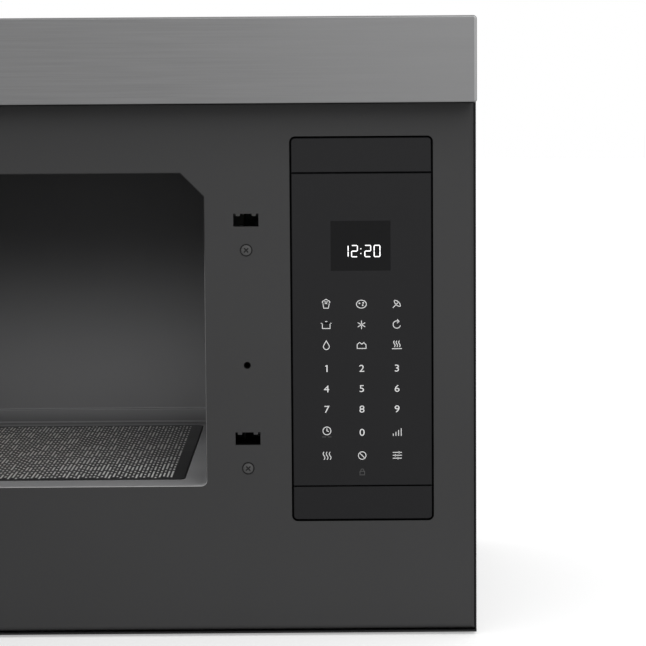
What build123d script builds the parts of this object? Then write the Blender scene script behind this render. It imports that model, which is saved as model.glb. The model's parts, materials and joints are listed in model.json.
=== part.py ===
"""Over-the-range microwave oven with a side-hung door, standing open.

Millimetres. +X is to the right as seen from the front, +Y points to the wall, +Z is up.
The origin is on the wall, at the centre of the four wall bolts.
Heights are measured from the underside, depths from the face of the front frame.
"""

import os
from math import cos, radians, sin

from build123d import *

os.makedirs("parts", exist_ok=True)

# ---------------------------------------------------------------- driving sizes
# Cabinet
unit_width = 759.0
unit_height = 505.0
unit_depth = 378.0  # wall to the face of the front frame
wall_bolt_height = 130.0  # underside to the centre of the wall bolts
case_sheet = 1.0
case_corner = 1.6
frame_sheet = 1.5
base_sheet = 1.4
base_flange = 12.0
fit_gap = 0.3  # between sheets and mouldings that slide together
running_gap = 0.05  # radial clearance of a shaft in its bore

# Front frame
frame_return = 12.0
frame_edge_radius = 4.0
frame_lift = 2.6  # underside to the frame's lower edge
case_set_back = 2.0

# Trim strip across the top
strip_height = 69.7
strip_reach = 26.0
strip_inset = 1.0
strip_sheet = 1.0
strip_corner = 3.0
strip_edge = 1.6

# Oven
oven_side = 38.5  # cabinet's left side to the oven
oven_column = 221.5  # oven to the cabinet's right side
oven_floor = 123.4
over_oven = 125.2  # oven's ceiling to the roof
behind_oven = 39.0  # oven's back to the wall
oven_chamfer = 19.0
oven_corner = 4.5
oven_lip = 1.0
liner_sheet = 1.2
liner_flange = 8.0
ledge_height = 13.0
ledge_depth = 5.0

# Floor plate and the well of the stirrer under it
plate_side = 20.3
plate_set_in = 28.5
plate_behind = 23.0
plate_thick = 4.0
plate_proud = 0.5
plate_gap = 0.8
plate_corner = 6.0
plate_edge = 0.6
well_radius = 100.0
well_depth = 20.0
coupling_radius = 22.0
stirrer_radius = 84.0
stirrer_sheet = 1.5
stirrer_lift = 8.0
stirrer_arms = 3
arm_slot_width = 26.0
rim_notch_radius = 20.0

# Latch slots and screws
latch_from_oven = 34.3
latch_rise = 38.7  # oven's floor to the lower slot
latch_drop = 38.4  # oven's ceiling to the upper slot
slot_width = 20.5
slot_height = 10.5
lug_width = 3.5
lug_drop = 1.9
lug_offset = 6.5
screw_drop = 24.5  # slot centre to screw centre
screw_head_radius = 4.2
screw_head_thick = 2.0
screw_shank_radius = 2.0
screw_length = 11.0
dimple_radius = 5.2
dimple_depth = 0.8
locating_hole_radius = 2.9
locating_hole_rise = 60.5  # above the lower slot

# Control panel
panel_from_side = 93.3
panel_width = 113.8
panel_low = 94.7
panel_drop = 97.3  # roof to the panel's top
panel_gap = 1.4
panel_corner = 3.4
panel_thick = 3.7
panel_set_back = 0.3
panel_edge = 0.5
cap_bottom_height = 27.5
cap_top_height = 28.4
seam_gap = 0.9
display_width = 48.8
display_height = 40.8
display_thick = 9.0
display_shift = 0.8
display_drop = 59.4  # glass's top to the display's middle
housing_wall = 2.5
housing_rim = 3.5
housing_depth = 30.0
board_sheet = 1.6
board_stand_off = 14.0
board_short = 83.0
board_down = 30.0
board_clear = 3.0
stand_off_inset = 6.0
stand_off_radius = 3.5
relay_width = 20.0
relay_height = 17.0
relay_pitch = 30.0
relays = 4
board_coil_width = 34.0
board_coil_height = 42.0
board_coil_left = 32.0
board_coil_down = 60.0
board_plug_width = 10.0
board_plug_height = 60.0
board_plug_right = 34.0
board_plug_up = 20.0
board_part_depth = 15.0

# Latch board behind the frame
latch_board_width = 38.0
latch_board_depth = 38.0
latch_board_wall = 2.5
latch_board_face = 3.0
latch_board_over = 24.0  # past the slots, above and below
latch_board_rib = 3.0  # slot's edge to the middle of a rib
latch_shelf_thick = 2.0
latch_shelf_depth = 4.0
slot_clear = 1.0  # slot's edge to the latch board's
switch_width = 12.0
switch_depth = 22.0
switch_height = 30.0
lower_switch_rise = 32.0
upper_switch_drops = (52.0, 86.0)
switch_tag_width = 6.0
switch_tag_thick = 0.8
switch_tag_length = 6.0
switch_tag_pitch = 10.0

# Door, measured from the hinge axis: along the door, up, and out of its face
door_open_angle = 90.0
door_low = 6.0
strip_gap = 6.4  # trim strip to the door
panel_clear = 5.8  # closed door to the control panel
hinge_inset = 12.0  # door's hinge edge to the axis
hinge_stand_off = 22.0  # frame's face to the axis
door_front = 12.0  # axis to the door's face
door_gap = 2.5  # frame's face to the closed door
skin_sheet = 1.0
skin_depth = 18.0
skin_radius = 2.0
window_margin_side = 70.0
window_margin_end = 58.0
window_radius = 6.0
glass_thick = 4.0
glass_overlap = 10.0
inner_sheet = 1.0
screen_sheet = 0.6
screen_overlap = 8.0
cover_depth = 8.0
cover_wall = 2.0
cover_inset = 3.5
cover_radius = 3.0
sight_margin_side = 34.0  # oven opening to the door's inner window
sight_margin_end = 24.0
sight_lip = 6.0
sight_radius = 10.0
choke_inner = 4.0  # outside the oven opening
choke_outer = 26.0
choke_reach = 5.0
choke_gap = 4.0
choke_pitch = 14.0
frame_wall = 2.5
frame_web = 2.0
pin_radius = 4.0
pin_length = 20.0
bush_radius = 6.2
bush_length = 16.0
pin_hole_radius = 5.0
bracket_thick = 3.0
bracket_gap = 1.5  # door's end to the bracket
bracket_flange = 1.5
bracket_clear = 10.0  # the hinge axis to the flange, so the door's corner passes
bracket_length = 36.0
bracket_drop = 26.0
bracket_eye = 8.0
flush_radius = 3.6
flush_taper = 45

# Handle
handle_from_edge = 40.0
handle_from_end = 44.0
handle_width = 20.0
handle_thick = 11.0
handle_reach = 46.0  # door's face to the handle's outer face
handle_round = 4.0
post_inset = 28.0
post_length = 26.0
post_width = 11.0

# Latch key
key_travel = 2.2
key_width = 13.0
key_thick = 5.0
key_over = 14.0
key_edge = 0.6
key_guide_length = 60.0
key_guide_gap = 1.0
hook_reach = 22.0  # past the door's back
hook_width = 11.0
hook_thick = 3.5
hook_tip_length = 8.0
hook_low = 0.4  # slot's lower edge to the hook's tip
spring_radius = 2.2
spring_wire = 0.4
spring_turns = 6
spring_pitch = 4.5

# Air
blower_x = 74.0  # centre of each wheel from the middle
blower_y = -105.0
wheel_width = 58.0
wheel_end_gap = 5.0
wheel_blades = 24
blade_sheet = 1.0
blade_chord = 8.0
blade_angle = 35.0
wheel_ring = 1.5
wheel_web_set_in = 1.0
blade_set_in = 0.5
hub_radius = 9.0
scroll_gap = 6.0
scroll_growth = 4.0
scroll_wall = 1.5
scroll_throat = 13.3
inlet_inset = 11.0
blower_motor_inset = 8.0
blower_motor_end = 8.0
blower_motor_edge = 4.0
blower_strap_width = 14.0
blower_strap_thick = 3.0
blower_strap_over = 8.0
shaft_radius = 4.0
duct_width = 254.0
duct_length = 83.0
duct_y = -75.0
collar_rise = 8.0
collar_drop = 12.0
collar_wall = 1.2
collar_flange = 10.0
collar_lip = 3.0
flap_drop = 6.0
flap_sheet = 1.0
flap_side_gap = 1.0
flap_end_gap = 0.8
rod_radius = 2.0
rod_set_in = 3.5
louvre_side = 59.5
louvre_length = 30.0
louvre_set_in = 34.0
louvre_thick = 3.0
louvre_rim = 6.0
louvre_slot = 21.0
louvre_pitch = 25.0
louvre_bar = 2.0
carbon_thick = 12.0
fan_from_side = 104.5
fan_rise = 149.0  # above the oven's floor
fan_y = -62.0
fan_radius = 54.0
fan_blades = 5
fan_hub_radius = 14.0
fan_shaft_radius = 3.0
fan_depth = 18.0
shroud_ring = 2.0
shroud_sheet = 2.0
shroud_arm = 10.0
fan_edge = 3.0
fan_bore_depth = 18.0
fan_face_gap = 2.0
fan_motor_radius = 26.0
fan_motor_length = 26.0
fan_pitch = 24.0
blade_thick = 1.6
blade_root = 3.0
root_chord = 15.0
tip_chord = 34.0
shroud_side = 35.0
shroud_end = 16.0

# Microwave source and its power supply
guide_width = 84.0
guide_height = 40.0
guide_end = 46.0
magnetron_from_side = 157.5
magnetron_width = 76.0
magnetron_length = 92.0
magnetron_height = 68.0
magnetron_fins = 7
magnetron_wall = 2.0
anode_radius = 20.0
fin_sheet = 0.8
antenna_length = 24.0
magnetron_cap_width = 54.0
magnetron_cap_length = 62.0
magnetron_cap_height = 26.0
magnetron_cap_corner = 4.0
stirrer_motor_radius = 25.0
stirrer_motor_length = 16.0
stirrer_motor_bore = 12.0
motor_ear_length = 66.0
motor_ear_width = 14.0
motor_ear_thick = 3.0
motor_plug_width = 14.0
motor_plug_depth = 10.0
motor_plug_height = 7.0
core_width = 96.0
core_depth = 52.0
core_height = 80.0
coil_build = 14.0
coil_clear = 2.0
coil_corner = 8.0
core_foot = 12.0
core_foot_thick = 2.0
transformer_from_side = 117.5
transformer_y = -104.0
capacitor_from_side = 37.5
capacitor_width = 34.0
capacitor_length = 56.0
capacitor_height = 88.0
capacitor_edge = 2.0
tag_width = 8.0
tag_depth = 6.0
tag_height = 9.0
tag_spacing = 22.0
diode_width = 7.0
diode_height = 7.0
lamp_depth = 150.0
lamp_drop = 47.0
lamp_width = 44.0
lamp_tall = 32.0
lamp_slot = 8.0
lamp_slots = 4
lamp_slot_height = 3.5
lamp_slot_pitch = 7.0
lamp_case_depth = 24.0
lamp_case_wall = 3.0
lamp_base = 6.0
lamp_bulb_radius = 8.0
lamp_bulb_length = 14.0
lamp_bulb_edge = 2.0
lamp_base_over = 1.0
grommet_from_side = 61.5
grommet_y = -60.0
grommet_radius = 11.0
grommet_bore = 5.0
grommet_rim = 3.0

# Underside
filter_side = 34.5  # cabinet's left side to the first filter
filter_column = 194.5  # second filter to the cabinet's right side
filter_between = 10.0
filter_length = 140.0
filter_thick = 9.0
filter_rim = 9.0
filter_corner = 4.0
filter_recess = 1.5
pull_width = 26.0
pull_depth = 5.0
pull_drop = 5.0
pull_wall = 4.0
filter_y = -110.0
lens_width = 96.0
lens_length = 52.0
lens_set_in = 48.0
lens_rim = 5.0
lens_rim_thick = 2.0
lamp_tray_wall = 3.0
lamp_tray_height = 16.0
cooktop_bulb_radius = 5.0
cooktop_bulb_length = 4.0
cooktop_bulb_pitch = 30.0
cooktop_bulbs = 3
inlet_from_side = 73.5
inlet_pitch = 9.0
inlet_count = 9
inlet_slot = 4.0

# Fixings
wall_bolt_spacing_x = 406.4
wall_bolt_spacing_z = 120.0
wall_bolt_radius = 3.6
wall_plate_side = 49.5
wall_plate_low = 22.0
wall_plate_high = 240.0
wall_sheet = 1.5
wall_hook_x = 150.0
wall_hook_width = 60.0
wall_hook_height = 40.0
wall_hook_lip = 9.0
wall_hook_reach = 6.0
wall_hook_gap = 1.0
cabinet_bolt_spacing = 660.0
cabinet_bolt_y = -290.0
cabinet_bolt_radius = 3.3
nut_radius = 6.4
nut_thick = 5.6

# ---------------------------------------------------------------- places worked out from them
half = unit_width / 2
bottom = -wall_bolt_height
top = bottom + unit_height
front = -unit_depth
inner_half = half - case_sheet
oven_left = oven_side - half
oven_right = half - oven_column
oven_x = (oven_left + oven_right) / 2
oven_width = oven_right - oven_left
oven_top = unit_height - over_oven
oven_height = oven_top - oven_floor
oven_mid_height = (oven_floor + oven_top) / 2
oven_depth = unit_depth - behind_oven
liner_top = oven_top + liner_sheet
plate_width = oven_width - 2 * plate_side
plate_length = oven_depth - plate_set_in - plate_behind
plate_y = front + plate_set_in + plate_length / 2
plate_seat = oven_floor + plate_proud - plate_thick
well_floor = plate_seat - well_depth
guide_top = well_floor - liner_sheet
guide_bottom = guide_top - guide_height
panel_back = panel_set_back + panel_thick
panel_x = half - panel_from_side
panel_high = unit_height - panel_drop
glass_low = panel_low + cap_bottom_height
glass_high = panel_high - cap_top_height
display_x = panel_x - display_shift
display_centre = glass_high - display_drop
latch_x = oven_right + latch_from_oven
latch_heights = (oven_floor + latch_rise, oven_top - latch_drop)
locating_hole_height = latch_heights[0] + locating_hole_rise
lamp_height = oven_top - lamp_drop
fan_x = half - fan_from_side
fan_height = oven_floor + fan_rise
magnetron_x = half - magnetron_from_side
transformer_x = half - transformer_from_side
capacitor_x = half - capacitor_from_side
grommet_x = half - grommet_from_side
louvre_width = unit_width - 2 * louvre_side
filter_width = (unit_width - filter_side - filter_between - filter_column) / 2
first_filter_x = filter_side + filter_width / 2 - half
filter_xs = (first_filter_x, first_filter_x + filter_width + filter_between)
lens_y = front + lens_set_in
wall_plate_width = unit_width - 2 * wall_plate_side
blower_room = over_oven - liner_sheet - collar_drop
scroll_more = scroll_throat + scroll_wall + 2 * scroll_gap + scroll_growth
wheel_radius = (blower_room - scroll_more) / 2
scroll_width = wheel_width + 2 * wheel_end_gap
inlet_radius = wheel_radius - inlet_inset
blower_motor_radius = wheel_radius - blower_motor_inset

front_face = Plane(origin=(0, front, bottom), x_dir=(1, 0, 0), z_dir=(0, -1, 0))
roof = Plane.XY.offset(top)

hinge_x = -half + hinge_inset
hinge_y = front - hinge_stand_off
swing = radians(door_open_angle)
along_door = (cos(swing), -sin(swing), 0)
out_of_door = (-sin(swing), -cos(swing), 0)
door_plane = Plane(origin=(hinge_x, hinge_y, bottom), x_dir=along_door, z_dir=out_of_door)
door_plan = Plane(origin=(hinge_x, hinge_y, bottom), x_dir=along_door, z_dir=(0, 0, 1))
door_side = Plane(
    origin=(hinge_x, hinge_y, bottom), x_dir=[-c for c in out_of_door], z_dir=along_door
)
out_axis = Axis(origin=(hinge_x, hinge_y, bottom), direction=out_of_door)
door_width = panel_x - panel_width / 2 - panel_clear + half
door_high = unit_height - strip_height - strip_gap
handle_low = door_low + handle_from_end
handle_high = door_high - handle_from_end
door_start = -hinge_inset
door_end = door_start + door_width
door_mid = (door_start + door_end) / 2
door_height = door_high - door_low
door_mid_height = (door_low + door_high) / 2
door_back = door_gap - hinge_stand_off
panel_face = door_back + cover_depth  # oven side of the door's inner panel
frame_back = panel_face + inner_sheet  # oven side of the door frame
glass_back = door_front - skin_sheet - glass_thick
sight_mid = oven_x - hinge_x
sight_width = oven_width - 2 * sight_margin_side
sight_height = oven_height - 2 * sight_margin_end
latch_u = latch_x - hinge_x
handle_u = door_end - handle_from_edge


def level(height):
    """A horizontal plane at a height above the underside."""
    return Plane.XY.offset(bottom + height)


def behind(depth):
    """A plane parallel to the front frame, at a depth behind its face."""
    return front_face.offset(-depth)


def save(piece, name):
    piece.part.label = name
    export_step(piece.part, f"parts/{name}.step")


def oven_outline(extra, middle=oven_x):
    """The oven's opening, chamfered above and rounded below, grown all round by extra."""
    with BuildSketch() as outline:
        with Locations((middle, oven_mid_height)):
            Rectangle(oven_width + 2 * extra, oven_height + 2 * extra)
        corners = outline.vertices().group_by(Axis.Y)
        chamfer(corners[-1], oven_chamfer + 0.6 * extra)
        fillet(corners[0], oven_corner + extra)
    return outline.sketch


# ---------------------------------------------------------------- case and mountings
upright = (Align.CENTER, Align.MIN)
hung = (Align.CENTER, Align.MAX)
collar_hole = 2 * (collar_wall + fit_gap)
roof_under = unit_height - case_sheet
louvre_y = front + louvre_set_in

with BuildPart() as outer_wrapper:
    with BuildSketch(behind(case_set_back)):
        with Locations((0, base_sheet)):
            Rectangle(unit_width, unit_height - base_sheet, align=upright)
            Rectangle(2 * inner_half, roof_under - base_sheet, align=upright, mode=Mode.SUBTRACT)
    extrude(amount=case_set_back + wall_sheet - unit_depth)
    fillet(outer_wrapper.edges().filter_by(Axis.Y).group_by(Axis.Z)[-1], case_corner)
    with BuildSketch(roof):
        with Locations((0, duct_y)):
            Rectangle(duct_width + collar_hole, duct_length + collar_hole)
        with Locations((0, louvre_y)):
            Rectangle(louvre_width, louvre_length)
        with Locations((grommet_x, grommet_y)):
            Circle(grommet_radius)
        with Locations((0, cabinet_bolt_y)):
            with GridLocations(cabinet_bolt_spacing, 0, 2, 1):
                Circle(cabinet_bolt_radius)
    extrude(amount=-case_sheet, mode=Mode.SUBTRACT)
save(outer_wrapper, "outer_wrapper")

with BuildPart() as back_panel:
    with BuildSketch(behind(unit_depth - wall_sheet)):
        with Locations((0, base_sheet)):
            Rectangle(2 * inner_half, roof_under - base_sheet, align=upright)
        with Locations((0, wall_hook_height)):
            with GridLocations(2 * wall_hook_x, 0, 2, 1):
                Rectangle(
                    wall_hook_width + 2 * wall_hook_gap,
                    wall_hook_lip + 2 * wall_hook_gap,
                    align=hung,
                    mode=Mode.SUBTRACT,
                )
    extrude(amount=case_sheet)
save(back_panel, "back_panel")

with BuildPart() as wall_plate:
    with BuildSketch(behind(unit_depth)):
        with Locations((0, wall_plate_low)):
            Rectangle(wall_plate_width, wall_plate_high - wall_plate_low, align=upright)
        with Locations((0, wall_bolt_height)):
            with GridLocations(wall_bolt_spacing_x, wall_bolt_spacing_z, 2, 2):
                Circle(wall_bolt_radius, mode=Mode.SUBTRACT)
            with GridLocations(wall_bolt_spacing_x / 2, 0, 2, 1):
                SlotOverall(wall_bolt_spacing_z, wall_bolt_spacing_z / 2, 90, mode=Mode.SUBTRACT)
    extrude(amount=wall_sheet)
    hook_out = wall_sheet + case_sheet + wall_hook_reach
    with BuildSketch(level(wall_hook_height - wall_sheet)):
        with Locations((0, -hook_out / 2)):
            with GridLocations(2 * wall_hook_x, 0, 2, 1):
                Rectangle(wall_hook_width, hook_out)
    extrude(amount=wall_sheet)
    with BuildSketch(level(wall_hook_height)):
        with Locations((0, wall_sheet / 2 - hook_out)):
            with GridLocations(2 * wall_hook_x, 0, 2, 1):
                Rectangle(wall_hook_width, wall_sheet)
    extrude(amount=wall_hook_lip)
save(wall_plate, "wall_plate")

base_length = unit_depth - wall_sheet
with BuildPart() as base_plate:
    with BuildSketch(level(0)):
        with Locations((0, front)):
            Rectangle(unit_width, base_length, align=upright)
        with Locations([(x, filter_y) for x in filter_xs]):
            Rectangle(filter_width - 2 * filter_rim, filter_length - 2 * filter_rim, mode=Mode.SUBTRACT)
        with Locations([(x, lens_y) for x in filter_xs]):
            Rectangle(lens_width + 2 * fit_gap, lens_length + 2 * fit_gap, mode=Mode.SUBTRACT)
        with Locations((half - inlet_from_side, lens_y)):
            with GridLocations(inlet_pitch, 0, inlet_count, 1):
                SlotOverall(lens_length, inlet_slot, 90, mode=Mode.SUBTRACT)
    extrude(amount=base_sheet)
    with BuildSketch(level(base_sheet)):
        with Locations((0, front + frame_return + 2 * fit_gap)):
            with GridLocations(2 * inner_half - base_sheet, 0, 2, 1):
                Rectangle(base_sheet, base_length - frame_return - case_sheet - 3 * fit_gap, align=upright)
    extrude(amount=base_flange)
    with BuildSketch(level(base_sheet)):
        with Locations([(x, filter_y) for x in filter_xs]):
            with GridLocations(filter_width + 2 * fit_gap + base_sheet, 0, 2, 1):
                Rectangle(base_sheet, filter_length)
    extrude(amount=filter_thick + fit_gap)
    with BuildSketch(level(base_sheet + filter_thick + fit_gap)):
        with Locations([(x, filter_y) for x in filter_xs]):
            with GridLocations(filter_width + 2 * fit_gap + 2 * base_sheet - filter_rim, 0, 2, 1):
                Rectangle(filter_rim, filter_length)
    extrude(amount=base_sheet)
save(base_plate, "base_plate")

with BuildPart() as cabinet_nuts:
    with BuildSketch(level(roof_under)):
        with Locations((0, cabinet_bolt_y)):
            with GridLocations(cabinet_bolt_spacing, 0, 2, 1):
                RegularPolygon(nut_radius, 6)
                Circle(cabinet_bolt_radius, mode=Mode.SUBTRACT)
    extrude(amount=-nut_thick)
save(cabinet_nuts, "cabinet_nuts")

with BuildPart() as cord_grommet:
    with BuildSketch(roof):
        with Locations((grommet_x, grommet_y)):
            Circle(grommet_radius + grommet_rim)
    extrude(amount=grommet_rim)
    chamfer(cord_grommet.edges().group_by(Axis.Z)[-1], grommet_rim / 2)
    with BuildSketch(roof):
        with Locations((grommet_x, grommet_y)):
            Circle(grommet_radius)
    extrude(amount=-case_sheet)
    with BuildSketch(level(roof_under)):
        with Locations((grommet_x, grommet_y)):
            Circle(grommet_radius + grommet_rim)
    extrude(amount=-grommet_rim)
    with BuildSketch(roof.offset(grommet_rim)):
        with Locations((grommet_x, grommet_y)):
            Circle(grommet_bore)
    extrude(amount=-(2 * grommet_rim + case_sheet), mode=Mode.SUBTRACT)
save(cord_grommet, "cord_grommet")

# ---------------------------------------------------------------- front frame and trim
frame_width = 2 * (inner_half - fit_gap)
frame_top = roof_under - fit_gap
panel_centre = (panel_low + panel_high) / 2
opening_margin = 2 * panel_gap
screw_heights = [h - screw_drop for h in latch_heights]
flange_xs = [hinge_x + bracket_clear + share * bracket_length for share in (0.25, 0.75)]
flange_middle = bracket_gap - 0.6 * bracket_drop
flange_heights = (door_high + flange_middle, door_low - flange_middle)

with BuildPart() as front_frame:
    with BuildSketch(front_face):
        with Locations((0, frame_lift)):
            Rectangle(frame_width, frame_top - frame_lift, align=upright)
    extrude(amount=-frame_return)
    fillet(front_frame.faces().sort_by(Axis.Y)[0].edges(), frame_edge_radius)
    offset(amount=-frame_sheet, openings=front_frame.faces().sort_by(Axis.Y)[-1])
    with BuildSketch(front_face):
        add(oven_outline(0))
    extrude(amount=-frame_sheet, mode=Mode.SUBTRACT)
    rim = front_frame.faces().sort_by(Axis.Y)[0].inner_wires().sort_by(lambda w: w.length)[-1]
    fillet(rim.edges(), oven_lip)
    with BuildSketch(front_face):
        with Locations((panel_x, panel_centre)):
            RectangleRounded(
                panel_width + opening_margin,
                panel_high - panel_low + opening_margin,
                panel_corner + panel_gap,
            )
        with Locations([(latch_x, h) for h in latch_heights]):
            Rectangle(slot_width, slot_height)
        with Locations([(latch_x, h + slot_height / 2) for h in latch_heights]):
            with GridLocations(2 * lug_offset, 0, 2, 1):
                Rectangle(lug_width, lug_drop, align=hung, mode=Mode.SUBTRACT)
        with Locations([(latch_x, h) for h in screw_heights]):
            Circle(screw_shank_radius + running_gap)
        with Locations((latch_x, locating_hole_height)):
            Circle(locating_hole_radius)
        with Locations([(x, h) for x in flange_xs for h in flange_heights]):
            Circle(screw_shank_radius + running_gap)
    extrude(amount=-frame_sheet, mode=Mode.SUBTRACT)
    with BuildSketch(front_face):
        with Locations([(latch_x, h) for h in screw_heights]):
            Circle(dimple_radius)
    extrude(amount=-dimple_depth, mode=Mode.SUBTRACT)
save(front_frame, "front_frame")

with BuildPart() as trim_strip:
    with BuildSketch(front_face) as strip_face:
        with Locations((0, unit_height)):
            Rectangle(unit_width - 2 * strip_inset, strip_height, align=hung)
        fillet(strip_face.vertices(), strip_corner)
    extrude(amount=strip_reach)
    fillet(trim_strip.faces().sort_by(Axis.Y)[0].edges(), strip_edge)
    offset(amount=-strip_sheet, openings=trim_strip.faces().sort_by(Axis.Y)[-1])
save(trim_strip, "trim_strip")

with BuildPart() as vent_louvre:
    with BuildSketch(roof):
        with Locations((0, louvre_y)):
            Rectangle(louvre_width - 2 * fit_gap, louvre_length - 2 * fit_gap)
            slot_count = int(louvre_width / louvre_pitch)
            with GridLocations(louvre_pitch, louvre_rim, slot_count, 4):
                Rectangle(louvre_slot, louvre_rim - louvre_bar, mode=Mode.SUBTRACT)
    extrude(amount=-louvre_thick)
    with BuildSketch(level(roof_under)):
        with Locations((0, louvre_y)):
            Rectangle(louvre_width + louvre_rim, louvre_length + louvre_rim)
            Rectangle(louvre_width - louvre_bar, louvre_length - louvre_bar, mode=Mode.SUBTRACT)
    extrude(amount=case_sheet - louvre_thick)
save(vent_louvre, "vent_louvre")

with BuildPart() as charcoal_filter:
    with BuildSketch(level(unit_height - louvre_thick)):
        with Locations((0, louvre_y)):
            Rectangle(louvre_width, louvre_length + louvre_rim)
    extrude(amount=-carbon_thick)
    with BuildSketch(level(unit_height - louvre_thick)):
        with Locations((0, louvre_y)):
            with GridLocations(2 * louvre_pitch, 0, slot_count // 2, 1):
                Rectangle(2 * (louvre_pitch - louvre_bar), louvre_length - 2 * louvre_bar)
    extrude(amount=-carbon_thick / 4, mode=Mode.SUBTRACT)
save(charcoal_filter, "charcoal_filter")

with BuildPart() as latch_screws:
    with BuildSketch(behind(dimple_depth)):
        with Locations([(latch_x, h) for h in screw_heights]):
            Circle(screw_head_radius)
    extrude(amount=screw_head_thick)
    chamfer(latch_screws.edges().group_by(Axis.Y)[0], screw_head_thick / 3)
    with BuildSketch(behind(dimple_depth)):
        with Locations([(latch_x, h) for h in screw_heights]):
            Circle(screw_shank_radius)
    extrude(amount=-screw_length)
save(latch_screws, "latch_screws")

# ---------------------------------------------------------------- oven
upper_cut = oven_floor + ledge_height

with BuildPart() as cavity_liner:
    with BuildSketch(behind(frame_sheet)):
        add(oven_outline(liner_sheet))
    extrude(amount=frame_sheet - oven_depth - liner_sheet)
    with BuildSketch(behind(oven_depth)):
        add(oven_outline(liner_sheet))
        with Locations((oven_x, upper_cut - liner_sheet)):
            Rectangle(oven_width, oven_height, align=(Align.CENTER, Align.MAX), mode=Mode.SUBTRACT)
            Rectangle(oven_width + 4 * liner_sheet, oven_height, align=hung, mode=Mode.SUBTRACT)
    extrude(amount=-(ledge_depth + liner_sheet))
    with BuildSketch(behind(frame_sheet)):
        add(oven_outline(liner_flange))
    extrude(amount=-liner_sheet)
    with BuildSketch(level(plate_seat - liner_sheet)):
        with Locations((oven_x, plate_y)):
            outer_gap = 2 * (plate_gap + liner_sheet)
            RectangleRounded(plate_width + outer_gap, plate_length + outer_gap, plate_corner + plate_gap)
    extrude(amount=oven_floor - plate_seat)
    with BuildSketch(level(well_floor - liner_sheet)):
        with Locations((oven_x, plate_y)):
            Circle(well_radius + liner_sheet)
    extrude(amount=well_depth)
    with BuildSketch(behind(frame_sheet)):
        add(oven_outline(0))
    extrude(amount=frame_sheet - oven_depth, mode=Mode.SUBTRACT)
    with BuildSketch(behind(oven_depth)):
        add(oven_outline(0))
        with Locations((oven_x, upper_cut)):
            Rectangle(oven_width + liner_sheet, oven_height, align=hung, mode=Mode.SUBTRACT)
    extrude(amount=-ledge_depth, mode=Mode.SUBTRACT)
    with BuildSketch(level(plate_seat)):
        with Locations((oven_x, plate_y)):
            RectangleRounded(
                plate_width + 2 * plate_gap, plate_length + 2 * plate_gap, plate_corner
            )
    extrude(amount=oven_floor - plate_seat, mode=Mode.SUBTRACT)
    with BuildSketch(level(well_floor)):
        with Locations((oven_x, plate_y)):
            Circle(well_radius)
    extrude(amount=well_depth, mode=Mode.SUBTRACT)
    with BuildSketch(level(well_floor)):
        with Locations((oven_x, plate_y)):
            Circle(coupling_radius)
    extrude(amount=-liner_sheet, mode=Mode.SUBTRACT)
    with BuildSketch(Plane.YZ.offset(oven_left - liner_sheet)):
        with Locations((front + lamp_depth, bottom + lamp_height)):
            with GridLocations(1.5 * lamp_slot, lamp_slot_pitch, lamp_slots, 4):
                Rectangle(lamp_slot, lamp_slot_height)
    extrude(amount=oven_width + 2 * liner_sheet, mode=Mode.SUBTRACT)
save(cavity_liner, "cavity_liner")

with BuildPart() as floor_plate:
    with BuildSketch(level(plate_seat)):
        with Locations((oven_x, plate_y)):
            RectangleRounded(plate_width, plate_length, plate_corner)
    extrude(amount=plate_thick)
    fillet(floor_plate.faces().sort_by(Axis.Z)[-1].edges(), plate_edge)
save(floor_plate, "floor_plate")

lamp_x = oven_right + liner_sheet
with BuildPart() as cavity_lamp:
    with BuildSketch(Plane.YZ.offset(lamp_x)):
        with Locations((front + lamp_depth, bottom + lamp_height)):
            Rectangle(lamp_width + 2 * lamp_case_wall, lamp_tall + 2 * lamp_case_wall)
            Rectangle(lamp_width, lamp_tall, mode=Mode.SUBTRACT)
    extrude(amount=lamp_case_depth)
    with BuildSketch(Plane.YZ.offset(lamp_x + lamp_case_depth)):
        with Locations((front + lamp_depth, bottom + lamp_height)):
            Rectangle(lamp_width + 2 * lamp_case_wall, lamp_tall + 2 * lamp_case_wall)
    extrude(amount=lamp_case_wall)
    with BuildSketch(Plane.YZ.offset(lamp_x + lamp_case_depth)):
        with Locations((front + lamp_depth, bottom + lamp_height)):
            Circle(lamp_bulb_radius + lamp_base_over)
    extrude(amount=-lamp_base)
    with BuildSketch(Plane.YZ.offset(lamp_x + lamp_case_depth - lamp_base)):
        with Locations((front + lamp_depth, bottom + lamp_height)):
            Circle(lamp_bulb_radius)
    extrude(amount=-lamp_bulb_length)
    chamfer(cavity_lamp.edges().filter_by(GeomType.CIRCLE).group_by(Axis.X)[0], lamp_bulb_edge)
save(cavity_lamp, "cavity_lamp")

# ---------------------------------------------------------------- microwave source
guide_start = oven_x - guide_end
guide_length = magnetron_x + guide_end - guide_start
guide_mid = guide_start + guide_length / 2

with BuildPart() as waveguide:
    with BuildSketch(level(guide_bottom)):
        with Locations((guide_mid, plate_y)):
            Rectangle(guide_length, guide_width)
    extrude(amount=guide_height)
    with BuildSketch(level(guide_bottom + liner_sheet)):
        with Locations((guide_mid, plate_y)):
            Rectangle(guide_length - 2 * liner_sheet, guide_width - 2 * liner_sheet)
    extrude(amount=guide_height - 2 * liner_sheet, mode=Mode.SUBTRACT)
    with BuildSketch(level(guide_top)):
        with Locations((oven_x, plate_y), (magnetron_x, plate_y)):
            Circle(coupling_radius)
    extrude(amount=-liner_sheet, mode=Mode.SUBTRACT)
    with BuildSketch(level(guide_bottom)):
        with Locations((oven_x, plate_y)):
            Circle(shaft_radius + fit_gap)
    extrude(amount=liner_sheet, mode=Mode.SUBTRACT)
save(waveguide, "waveguide")

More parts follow.
